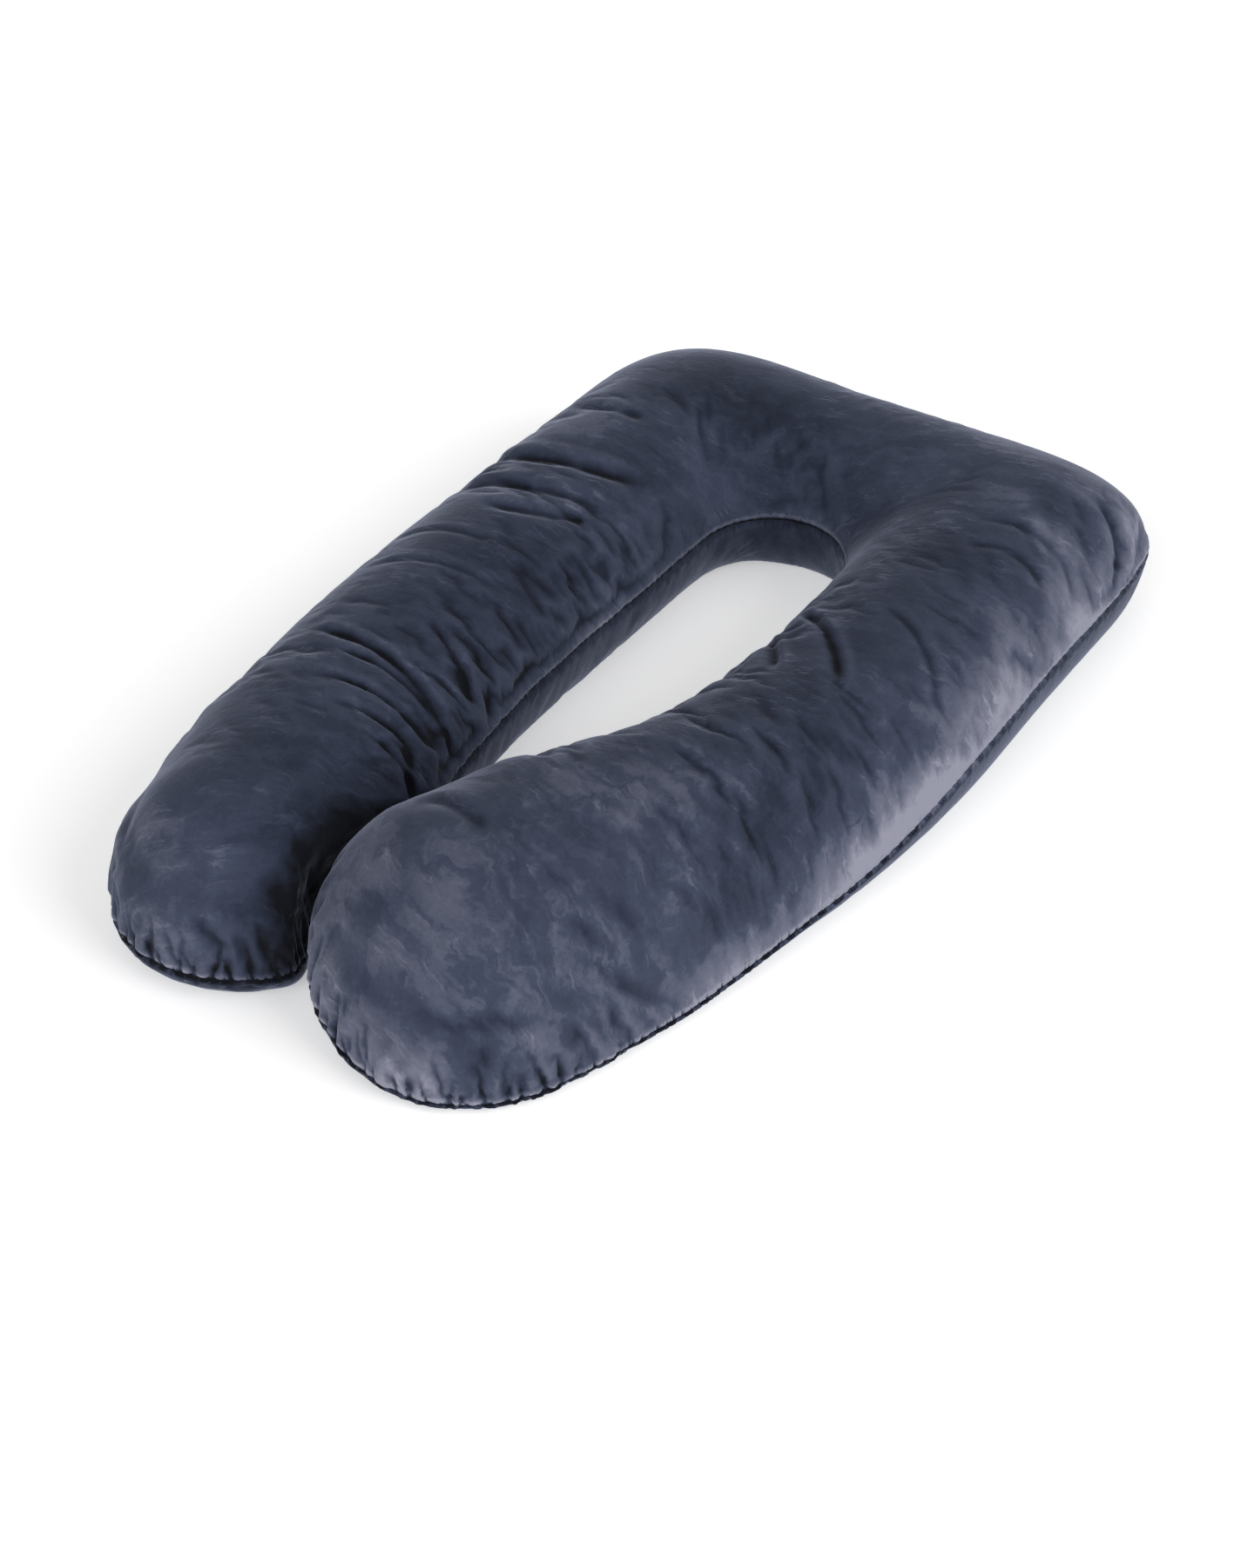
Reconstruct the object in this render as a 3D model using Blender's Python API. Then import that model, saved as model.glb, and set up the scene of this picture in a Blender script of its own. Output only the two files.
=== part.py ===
"""U-shaped body pillow, lying on its back: two velvet panels joined by one turned seam and filled tight.

Metres, +Z up. The closed head end points to +Y and the arms to -Y. The near arm is the one at +X, and its end
is curled in toward the far arm. The pillow is made in a flat plan first, from rays that run from a spine down
the middle of the U out to its seam. Each ray carries one cross section. Then the two arms are bent.
"""

import math
from collections import namedtuple

import bmesh
import bpy
import numpy as np

COLLECTION = "pregnancy_pillow"
NODE = "pillow"

# Flat plan, measured from the middle of the U
HEAD_Y = 0.641
GAP = 0.185
GAP_END_Y = 0.40
GAP_END_DEPTH = 0.10
GAP_END_POWER = 2.0

# One row of sizes for each arm. The seam runs from outer_x round the head's corner, and the arm gets wider by
# swell over swell_length up to its round end, which reaches end_y. Below bend_y it curls in by bend_angle.
Arm = namedtuple("Arm", "side outer_x corner_power end_y swell swell_length bend_y bend_angle bend_length")
NEAR = Arm(
    side=1, outer_x=0.386, corner_power=8.7, end_y=-0.636,
    swell=0.20, swell_length=0.36, bend_y=0.20, bend_angle=0.51, bend_length=0.60,
)
FAR = Arm(
    side=-1, outer_x=0.380, corner_power=4.7, end_y=-0.612,
    swell=0.12, swell_length=0.26, bend_y=0.06, bend_angle=0.41, bend_length=0.835,
)
SPREAD_START_Y = 0.30
SPREAD = 0.027

# Cross section
HEIGHT = 0.200
SEAM_HEIGHT = 0.092
END_SEAM_HEIGHT = 0.060
CONTACT_SHARE = 0.70
CROWN_WIDTH_POWER = 2.3
CROWN_HEIGHT_POWER = 1.7
SEAM_PINCH = 0.004

# The near arm's end presses a hollow into the far arm's inner side
PRESS_CLEARANCE = 0.003
PRESS_SOFTNESS = 0.015

# The near arm's end leans: its inner side rides up and its outer side slopes down
LEAN_START_Y = 0.0
LEAN_LENGTH = 0.45
LEAN_RISE = 0.0105
LEAN_SLOPE = 0.16
LEAN_SEAM_DROP = 0.035

# Gathers round the arm ends. Their spacing sways by an amount over a length of seam, slowly and quickly.
Sway = namedtuple("Sway", "amount length start")
GATHER_SWAYS = (Sway(amount=1.4, length=0.043, start=0.0), Sway(amount=0.9, length=0.019, start=1.0))
GATHER_PITCH = 0.034
GATHER_DEPTH = 0.0045
GATHER_REACH = 0.055
GATHER_RUN_UP_ARM = 0.16

# Broad rises and hollows of the filling under the top panel, in the flat plan
Swell = namedtuple("Swell", "x y radius rise")
SWELLS = (
    Swell(x=-0.04, y=0.53, radius=0.16, rise=-0.012),
    Swell(x=0.28, y=0.50, radius=0.12, rise=0.006),
    Swell(x=-0.22, y=0.19, radius=0.09, rise=-0.006),
    Swell(x=-0.16, y=-0.24, radius=0.08, rise=-0.007),
    Swell(x=0.19, y=0.06, radius=0.08, rise=-0.006),
)

# Creases in the top panel, in the flat plan: each runs from start to end and bows to its left. A crease fades
# out over a share of its length at each end, and over the lowest share of the crown.
CREASE_FADE = 0.25
CREASE_SEAM_FADE = 0.33
Crease = namedtuple("Crease", "start end bow width depth")
CREASES = (
    Crease(start=(-0.31, 0.34), end=(-0.21, 0.35), bow=0.000, width=0.010, depth=0.004),
    Crease(start=(-0.35, 0.23), end=(-0.16, 0.26), bow=-0.025, width=0.011, depth=0.008),
    Crease(start=(-0.34, 0.14), end=(-0.16, 0.19), bow=-0.010, width=0.011, depth=0.007),
    Crease(start=(-0.27, 0.09), end=(-0.17, 0.17), bow=-0.015, width=0.010, depth=0.006),
    Crease(start=(-0.22, -0.14), end=(-0.12, -0.20), bow=0.010, width=0.010, depth=0.007),
    Crease(start=(-0.28, -0.21), end=(-0.11, -0.25), bow=0.012, width=0.011, depth=0.009),
    Crease(start=(-0.26, -0.25), end=(-0.11, -0.30), bow=0.012, width=0.010, depth=0.009),
    Crease(start=(-0.20, -0.30), end=(-0.10, -0.35), bow=0.010, width=0.011, depth=0.007),
    Crease(start=(-0.34, -0.41), end=(-0.37, -0.49), bow=0.005, width=0.012, depth=0.006),
    Crease(start=(0.12, 0.11), end=(0.22, -0.03), bow=0.008, width=0.010, depth=0.009),
    Crease(start=(0.14, 0.16), end=(0.29, -0.01), bow=0.010, width=0.011, depth=0.010),
    Crease(start=(0.22, 0.18), end=(0.35, 0.08), bow=0.012, width=0.012, depth=0.006),
    Crease(start=(0.24, 0.33), end=(0.33, 0.34), bow=0.020, width=0.013, depth=0.005),
    Crease(start=(0.23, 0.38), end=(0.36, 0.37), bow=0.028, width=0.013, depth=0.005),
    Crease(start=(0.29, 0.52), end=(0.385, 0.46), bow=0.008, width=0.011, depth=0.009),
    Crease(start=(0.33, 0.24), end=(0.385, 0.27), bow=0.000, width=0.012, depth=0.005),
    Crease(start=(0.16, -0.47), end=(0.24, -0.43), bow=0.005, width=0.011, depth=0.005),
)

# Mesh density
FINE_STEP = 0.009
COARSE_STEP = 0.016
FINE_STATIONS = 18
HEAD_RAYS = 46
END_RAYS = 56
SIDE_ANGLES = (32, 60, 80)
CROWN_ANGLES = (81, 66, 50, 36, 23, 11, 0)
MERGE_DISTANCE = 0.0002

# Velvet
VELVET_COLOUR = (0.060, 0.069, 0.105, 1.0)
VELVET_ROUGHNESS = 0.85
VELVET_SHEEN = 0.6


def smooth(x):
    """Eases from 0 to 1 as x goes from 0 to 1."""
    x = np.clip(x, 0.0, 1.0)
    return x * x * (3.0 - 2.0 * x)


def superellipse(angle, across, along, power):
    """Distance from the centre to the edge of a squared-off oval, in one direction."""
    total = (abs(math.cos(angle)) / across) ** power + (abs(math.sin(angle)) / along) ** power
    return total ** (-1.0 / power)


def axis_x(arm):
    """The line down the middle of an arm before it is bent."""
    return arm.side * (arm.outer_x + GAP / 2) / 2


def plain_radius(arm):
    """Half the arm's width where it leaves the head."""
    return (arm.outer_x - GAP / 2) / 2


def end_centre_y(arm):
    """Where the round end of an arm has its centre."""
    return arm.end_y + plain_radius(arm) * (1 + arm.swell)


def arm_radius(arm, y):
    """Half the arm's width at a place along it, which is widest where its round end begins."""
    above_end = y - end_centre_y(arm)
    return plain_radius(arm) * (1 + arm.swell * smooth(1 - above_end / arm.swell_length))


def arm_stations(arm, head_y):
    """Places along an arm, close together near its gathered end and wider apart toward the head."""
    fine = end_centre_y(arm) + FINE_STEP * np.arange(FINE_STATIONS)
    count = int(round((head_y - fine[-1]) / COARSE_STEP))
    return np.concatenate([fine, np.linspace(fine[-1], head_y, count + 1)[1:]])


def arm_sides(arm, head_y):
    """Spine, outer seam and inner seam of an arm, from its end up to the head."""
    y = arm_stations(arm, head_y)
    x = np.full_like(y, axis_x(arm))
    radius = arm.side * arm_radius(arm, y)
    return np.stack([x, y], 1), np.stack([x + radius, y], 1), np.stack([x - radius, y], 1)


def arm_end(arm):
    """Seam points round an arm's end, from its -X side to its +X side."""
    turn = np.linspace(math.pi, 2 * math.pi, END_RAYS + 2)[1:-1]
    radius = arm_radius(arm, end_centre_y(arm))
    return np.stack([axis_x(arm) + radius * np.cos(turn), end_centre_y(arm) + radius * np.sin(turn)], 1)


def head_sides(pivot_y):
    """Spine, outer seam and inner seam round the head end, from the near arm to the far arm."""
    rows = []
    for angle in np.linspace(0, math.pi, HEAD_RAYS + 2)[1:-1]:
        arm = NEAR if angle < math.pi / 2 else FAR
        outer = superellipse(angle, arm.outer_x, HEAD_Y - pivot_y, arm.corner_power)
        inner = superellipse(angle, GAP / 2, GAP_END_DEPTH, GAP_END_POWER)
        away = np.array([math.cos(angle), math.sin(angle)])
        rows.append([(0, pivot_y) + away * distance for distance in ((outer + inner) / 2, outer, inner)])
    return np.array(rows).transpose(1, 0, 2)


def flat_plan():
    """One loop of rays round the pillow: spine point, seam point, distance up the arm and which arm."""
    pivot_y = GAP_END_Y - GAP_END_DEPTH
    near = arm_sides(NEAR, pivot_y)
    far = [line[::-1] for line in arm_sides(FAR, pivot_y)]
    spine, outer, inner = (np.concatenate(lines) for lines in zip(near, head_sides(pivot_y), far))
    seam = np.concatenate([outer, arm_end(FAR), inner[::-1], arm_end(NEAR)])
    far_middle = np.repeat(spine[-1:], END_RAYS, 0)
    near_middle = np.repeat(spine[:1], END_RAYS, 0)
    middle = np.concatenate([spine, far_middle, spine[::-1], near_middle])
    on_near_arm = seam[:, 0] > 0
    up_arm = seam[:, 1] - np.where(on_near_arm, end_centre_y(NEAR), end_centre_y(FAR))
    return middle, seam, np.maximum(0.0, up_arm), on_near_arm


def section_rows():
    """Rows of the cross section, from the middle of the underside round the seam to the crown.

    Each row is a share of the ray's length, a share of the seam's height, and a share of the crown above it.
    """
    rows = [(0.0, 0.0, 0.0), (CONTACT_SHARE, 0.0, 0.0)]
    for angle in np.radians(SIDE_ANGLES):
        rows.append((CONTACT_SHARE + (1 - CONTACT_SHARE) * math.sin(angle), 1 - math.cos(angle), 0.0))
    rows.append((1.0, 1.0, 0.0))
    for angle in np.radians(CROWN_ANGLES):
        width = math.sin(angle) ** (2 / CROWN_WIDTH_POWER)
        rows.append((width, 1.0, math.cos(angle) ** (2 / CROWN_HEIGHT_POWER)))
    return rows


def bend(x, y, arm):
    """Curls the arm in toward the gap below its bend_y, and spreads it outward a little."""
    below = np.maximum(0.0, arm.bend_y - y)
    curved = np.minimum(below, arm.bend_length)
    rate = arm.bend_angle / arm.bend_length
    turned = rate * curved
    straight = below - curved
    offset = arm.side * (x - axis_x(arm))
    inward = (1 - np.cos(turned)) / rate + straight * np.sin(turned) - offset * np.cos(turned)
    lower_y = arm.bend_y - np.sin(turned) / rate - straight * np.cos(turned) - offset * np.sin(turned)
    x = np.where(below > 0, axis_x(arm) - arm.side * inward, x)
    y = np.where(below > 0, lower_y, y)
    return x + arm.side * SPREAD * np.maximum(0.0, SPREAD_START_Y - y), y


def press_aside(x, y, centre, radius):
    """Moves what lies within radius of centre out past it, and eases its neighbours aside."""
    away_x = x - centre[0]
    away_y = y - centre[1]
    distance = np.hypot(away_x, away_y)
    past = np.logaddexp(0.0, (distance - radius) / PRESS_SOFTNESS) * PRESS_SOFTNESS + radius
    return centre[0] + away_x * past / distance, centre[1] + away_y * past / distance


def swell_rise(x, y):
    """Height that the broad swells add at a place in the flat plan."""
    return sum(s.rise * np.exp(-((x - s.x) ** 2 + (y - s.y) ** 2) / s.radius**2) for s in SWELLS)


def crease_depth(x, y):
    """Depth of all creases at a place in the flat plan."""
    total = np.zeros_like(x)
    for crease in CREASES:
        start = np.array(crease.start)
        run = np.array(crease.end) - start
        length = math.hypot(*run)
        along = ((x - start[0]) * run[0] + (y - start[1]) * run[1]) / length**2
        aside = ((y - start[1]) * run[0] - (x - start[0]) * run[1]) / length
        inside = np.clip(along, 0.0, 1.0)
        off = aside - 4 * crease.bow * inside * (1 - inside)
        fade = smooth(along / CREASE_FADE) * smooth((1 - along) / CREASE_FADE)
        total += crease.depth * fade * np.exp(-((off / crease.width) ** 2))
    return total


def gather_wave(distance):
    """An uneven wave along the seam, from 0 on a ridge to 1 in a gather."""
    sway = sum(s.amount * np.sin(distance / s.length + s.start) for s in GATHER_SWAYS)
    return 0.5 - 0.5 * np.cos(2 * math.pi * distance / GATHER_PITCH + sway)


def outward(points):
    """Unit normals of a grid of points whose rows run up the pillow and whose columns run round it."""
    around = np.roll(points, -1, axis=1) - np.roll(points, 1, axis=1)
    upward = np.gradient(points, axis=0)
    normals = np.cross(around, upward)
    length = np.linalg.norm(normals, axis=2, keepdims=True)
    normals = normals / np.maximum(length, 1e-9)
    normals[-1] = (0.0, 0.0, 1.0)
    return normals


def pillow_points():
    """Grid of the pillow's surface: rows from the underside to the crown, columns round the seam."""
    middle, seam, up_arm, on_near_arm = flat_plan()
    rays = seam - middle
    reach = np.linalg.norm(rays, axis=1)
    step = np.linalg.norm(seam - np.roll(seam, 1, axis=0), axis=1)
    distance = np.cumsum(step)
    at_end = smooth(1 - up_arm / GATHER_RUN_UP_ARM)
    lean = smooth((LEAN_START_Y - seam[:, 1]) / LEAN_LENGTH) * on_near_arm
    seam_height = SEAM_HEIGHT + (END_SEAM_HEIGHT - SEAM_HEIGHT) * at_end * smooth(1 - up_arm / reach)
    seam_height -= LEAN_SEAM_DROP * lean * rays[:, 0] / reach

    rows = section_rows()
    share, low, high = (np.array(column)[:, None] for column in zip(*rows))
    pinch = np.where(share == 1.0, SEAM_PINCH, 0.0)
    factor = share - pinch / reach
    x = middle[:, 0] + rays[:, 0] * factor
    y = middle[:, 1] + rays[:, 1] * factor
    z = low * seam_height + high * (HEIGHT + swell_rise(x, y) - seam_height)

    depth = crease_depth(x, y) * smooth(high / CREASE_SEAM_FADE)
    from_seam = np.abs(1 - share) * reach
    off_underside = low > 0
    puckered = smooth(1 - from_seam / GATHER_REACH) * at_end * off_underside
    depth += GATHER_DEPTH * puckered * gather_wave(distance)

    z = z + lean * high * (LEAN_RISE - LEAN_SLOPE * (x - middle[:, 0]))

    near_x, near_y = bend(x, y, NEAR)
    far_x, far_y = bend(x, y, FAR)
    near_end = bend(axis_x(NEAR), end_centre_y(NEAR), NEAR)
    near_end_radius = arm_radius(NEAR, end_centre_y(NEAR))
    far_x, far_y = press_aside(far_x, far_y, near_end, near_end_radius + PRESS_CLEARANCE)
    x = np.where(on_near_arm, near_x, far_x)
    y = np.where(on_near_arm, near_y, far_y)

    points = np.stack([x, y, z], axis=2)
    points = points - outward(points) * depth[..., None]
    points[..., 2] = np.maximum(points[..., 2], 0.0)
    low_corner, high_corner = points.min(axis=(0, 1)), points.max(axis=(0, 1))
    points[..., :2] -= (low_corner[:2] + high_corner[:2]) / 2
    return points


def velvet():
    """Short-pile slate blue velvet."""
    material = bpy.data.materials.new("slate_blue_velvet")
    material.use_nodes = True
    shader = material.node_tree.nodes["Principled BSDF"]
    shader.inputs["Base Color"].default_value = VELVET_COLOUR
    shader.inputs["Roughness"].default_value = VELVET_ROUGHNESS
    shader.inputs["Metallic"].default_value = 0.0
    shader.inputs["Sheen Weight"].default_value = VELVET_SHEEN
    return material


def make_pillow(collection):
    """Closes the grid of points into one solid."""
    points = pillow_points()
    row_count, column_count, _ = points.shape
    shape = bmesh.new()
    grid = [[shape.verts.new(point) for point in row] for row in points]
    for lower, upper in zip(grid, grid[1:]):
        for column in range(column_count):
            after = (column + 1) % column_count
            shape.faces.new((lower[column], lower[after], upper[after], upper[column]))
    bmesh.ops.remove_doubles(shape, verts=shape.verts, dist=MERGE_DISTANCE)
    bmesh.ops.recalc_face_normals(shape, faces=shape.faces)
    mesh = bpy.data.meshes.new(NODE)
    shape.to_mesh(mesh)
    shape.free()
    mesh.shade_smooth()
    mesh.materials.append(velvet())
    pillow = bpy.data.objects.new(NODE, mesh)
    collection.objects.link(pillow)
    return pillow


def main():
    """Clears the scene and makes the pillow in its own collection."""
    for old in list(bpy.data.objects):
        bpy.data.objects.remove(old, do_unlink=True)
    collection = bpy.data.collections.new(COLLECTION)
    bpy.context.scene.collection.children.link(collection)
    make_pillow(collection)


main()
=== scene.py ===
"""A U-shaped velvet body pillow, filled tight, lying flat on a pale floor.

The cover is two cut velvet panels with one turned seam between them. It starts from the plan that the
solid has: rays run from a spine down the middle of the U out to the seam, and each carries one cross
section. The cover is cut larger than the space that it fills, most at the arm ends and where the arms
bend, so cloth simulation gathers and folds it there. Metres, +Z up, closed head end at +Y, near arm at +X.
"""

import logging
import math
from dataclasses import dataclass, field
from enum import Enum
from typing import NamedTuple

import bpy
import numpy as np
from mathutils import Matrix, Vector
from mathutils.geometry import delaunay_2d_cdt
from mathutils.kdtree import KDTree

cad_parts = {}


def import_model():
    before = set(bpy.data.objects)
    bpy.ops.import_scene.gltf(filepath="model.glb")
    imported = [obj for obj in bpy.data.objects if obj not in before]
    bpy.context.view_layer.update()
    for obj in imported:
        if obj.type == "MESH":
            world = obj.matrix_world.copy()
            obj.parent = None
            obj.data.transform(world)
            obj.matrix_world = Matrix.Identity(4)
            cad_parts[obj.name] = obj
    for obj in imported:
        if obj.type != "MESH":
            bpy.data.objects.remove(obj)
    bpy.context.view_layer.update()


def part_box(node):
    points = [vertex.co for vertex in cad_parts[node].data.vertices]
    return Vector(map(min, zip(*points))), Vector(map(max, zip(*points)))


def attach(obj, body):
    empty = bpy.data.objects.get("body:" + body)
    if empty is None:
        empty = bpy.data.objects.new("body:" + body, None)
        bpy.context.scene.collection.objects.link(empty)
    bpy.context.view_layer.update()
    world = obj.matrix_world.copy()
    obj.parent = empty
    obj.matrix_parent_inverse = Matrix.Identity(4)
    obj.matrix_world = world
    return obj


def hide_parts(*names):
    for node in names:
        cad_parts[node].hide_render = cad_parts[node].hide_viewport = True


LOG = logging.getLogger("body_pillow")
NODE = "pillow"
PIECE = "velvet_cover"
GAP_WIDTH = 0.185


class Side(Enum):
    """Which arm of the U, by its side in the flat plan."""

    NEAR = 1
    FAR = -1


class Panel(Enum):
    """Which of the two cut panels."""

    TOP = "top"
    BOTTOM = "bottom"


class Swell(NamedTuple):
    """A broad rise or hollow of the filling, at a place in the flat plan."""

    x: float
    y: float
    radius: float
    rise: float


class Crease(NamedTuple):
    """A soft crease in the top panel, in the flat plan, that bows to the left of its run."""

    start: tuple[float, float]
    end: tuple[float, float]
    bow: float
    width: float
    depth: float


class Patch(NamedTuple):
    """An oval place in the flat plan, and how strong something is in its middle."""

    x: float
    y: float
    along: float
    across: float
    turn: float
    amount: float


def patch_sum(patches: tuple[Patch, ...], x: np.ndarray, y: np.ndarray) -> np.ndarray:
    """Adds up how strong all patches are at each place in the flat plan.

    Args:
        patches: The patches.
        x: Plan x of each place.
        y: Plan y of each place.

    Returns:
        The sum at each place.
    """
    total = np.zeros_like(x)
    for patch in patches:
        cosine, sine = math.cos(patch.turn), math.sin(patch.turn)
        run = (x - patch.x) * cosine + (y - patch.y) * sine
        aside = (y - patch.y) * cosine - (x - patch.x) * sine
        total += patch.amount * np.exp(-((run / patch.along) ** 2) - (aside / patch.across) ** 2)
    return total


def smooth(x: np.ndarray | float) -> np.ndarray:
    """Eases from 0 to 1 as x goes from 0 to 1."""
    x = np.clip(x, 0.0, 1.0)
    return x * x * (3.0 - 2.0 * x)


def neighbour_mean(values: np.ndarray, edges: np.ndarray, held: np.ndarray, rounds: int) -> np.ndarray:
    """Smooths values over a mesh by averaging each vertex with its neighbours.

    Args:
        values: One row of numbers for each vertex.
        edges: Pairs of vertex indices.
        held: True for each vertex that keeps its value.
        rounds: How many times to average.

    Returns:
        The smoothed values.
    """
    count = np.bincount(edges.ravel(), minlength=len(values))[:, None]
    smoothed = values.copy()
    for _ in range(rounds):
        total = np.zeros_like(smoothed)
        for column in range(values.shape[1]):
            total[:, column] += np.bincount(edges[:, 0], smoothed[edges[:, 1], column], len(values))
            total[:, column] += np.bincount(edges[:, 1], smoothed[edges[:, 0], column], len(values))
        mean = total / np.maximum(count, 1)
        smoothed = np.where(held[:, None], values, 0.5 * smoothed + 0.5 * mean)
    return smoothed


def read_vectors(rows: bpy.types.bpy_prop_collection, name: str) -> np.ndarray:
    """Reads three numbers from each row of a mesh's data, such as places or normals.

    Args:
        rows: Vertices, normals or an attribute's values.
        name: What to read from each.

    Returns:
        One row of three numbers for each.
    """
    values = np.empty(len(rows) * 3, np.float32)
    rows.foreach_get(name, values)
    return values.reshape(-1, 3).astype(float)


def write_numbers(rows: bpy.types.bpy_prop_collection, name: str, values: np.ndarray) -> None:
    """Writes numbers to the rows of a mesh's data."""
    rows.foreach_set(name, values.astype(np.float32).ravel())


def vertex_pairs(mesh: bpy.types.Mesh) -> np.ndarray:
    """Reads the two vertices of every edge.

    Args:
        mesh: The mesh.

    Returns:
        One row of two vertex indices for each edge.
    """
    pairs = np.empty(len(mesh.edges) * 2, np.int32)
    mesh.edges.foreach_get("vertices", pairs)
    return pairs.reshape(-1, 2)


def sorted_places(places: np.ndarray) -> KDTree:
    """Sorts places, one row each, so that the nearest one is found fast.

    Args:
        places: The places.

    Returns:
        A tree that finds the nearest of them.
    """
    tree = KDTree(len(places))
    for i, place in enumerate(places):
        tree.insert(place, i)
    tree.balance()
    return tree


@dataclass(frozen=True)
class Arm:
    """Sizes of one arm in the flat plan, and how far it curls in toward the gap."""

    side: Side
    outer_x: float
    corner_power: float
    end_y: float
    swell: float
    swell_length: float
    bend_y: float
    bend_angle: float
    bend_length: float
    gap: float = GAP_WIDTH
    spread: float = 0.027
    spread_start_y: float = 0.30

    @property
    def plain_radius(self) -> float:
        """Half the arm's width where it leaves the head."""
        return (self.outer_x - self.gap / 2) / 2

    @property
    def axis_x(self) -> float:
        """The line down the middle of the arm before it is bent."""
        return self.side.value * (self.outer_x + self.gap / 2) / 2

    @property
    def end_radius(self) -> float:
        """Radius of the arm's round end."""
        return self.plain_radius * (1 + self.swell)

    @property
    def end_centre_y(self) -> float:
        """Where the round end has its centre."""
        return self.end_y + self.end_radius

    def radius(self, y: np.ndarray) -> np.ndarray:
        """Half the arm's width at a place along it."""
        above_end = y - self.end_centre_y
        return self.plain_radius * (1 + self.swell * smooth(1 - above_end / self.swell_length))

    def bend(self, x: np.ndarray, y: np.ndarray) -> tuple[np.ndarray, np.ndarray]:
        """Curls plan points in toward the gap and spreads the arm outward a little.

        Args:
            x: Plan x of each point.
            y: Plan y of each point.

        Returns:
            The x and y of the points on the bent arm.
        """
        below = np.maximum(0.0, self.bend_y - y)
        curved = np.minimum(below, self.bend_length)
        rate = self.bend_angle / self.bend_length
        turned = rate * curved
        straight = below - curved
        side = self.side.value
        offset = side * (x - self.axis_x)
        inward = (1 - np.cos(turned)) / rate + straight * np.sin(turned) - offset * np.cos(turned)
        lower_y = self.bend_y - np.sin(turned) / rate - straight * np.cos(turned) - offset * np.sin(turned)
        bent_x = np.where(below > 0, self.axis_x - side * inward, x)
        bent_y = np.where(below > 0, lower_y, y)
        return bent_x + side * self.spread * np.maximum(0.0, self.spread_start_y - y), bent_y


class Rays(NamedTuple):
    """The ray of each plan point: where it starts and meets the seam, and the point's share of the way."""

    middle: np.ndarray
    seam: np.ndarray
    share: np.ndarray
    near: np.ndarray

    @property
    def reach(self) -> np.ndarray:
        """Length of each ray."""
        return np.linalg.norm(self.seam - self.middle, axis=1)

    @property
    def away(self) -> np.ndarray:
        """Direction of each ray."""
        return (self.seam - self.middle) / self.reach[:, None]


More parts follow.
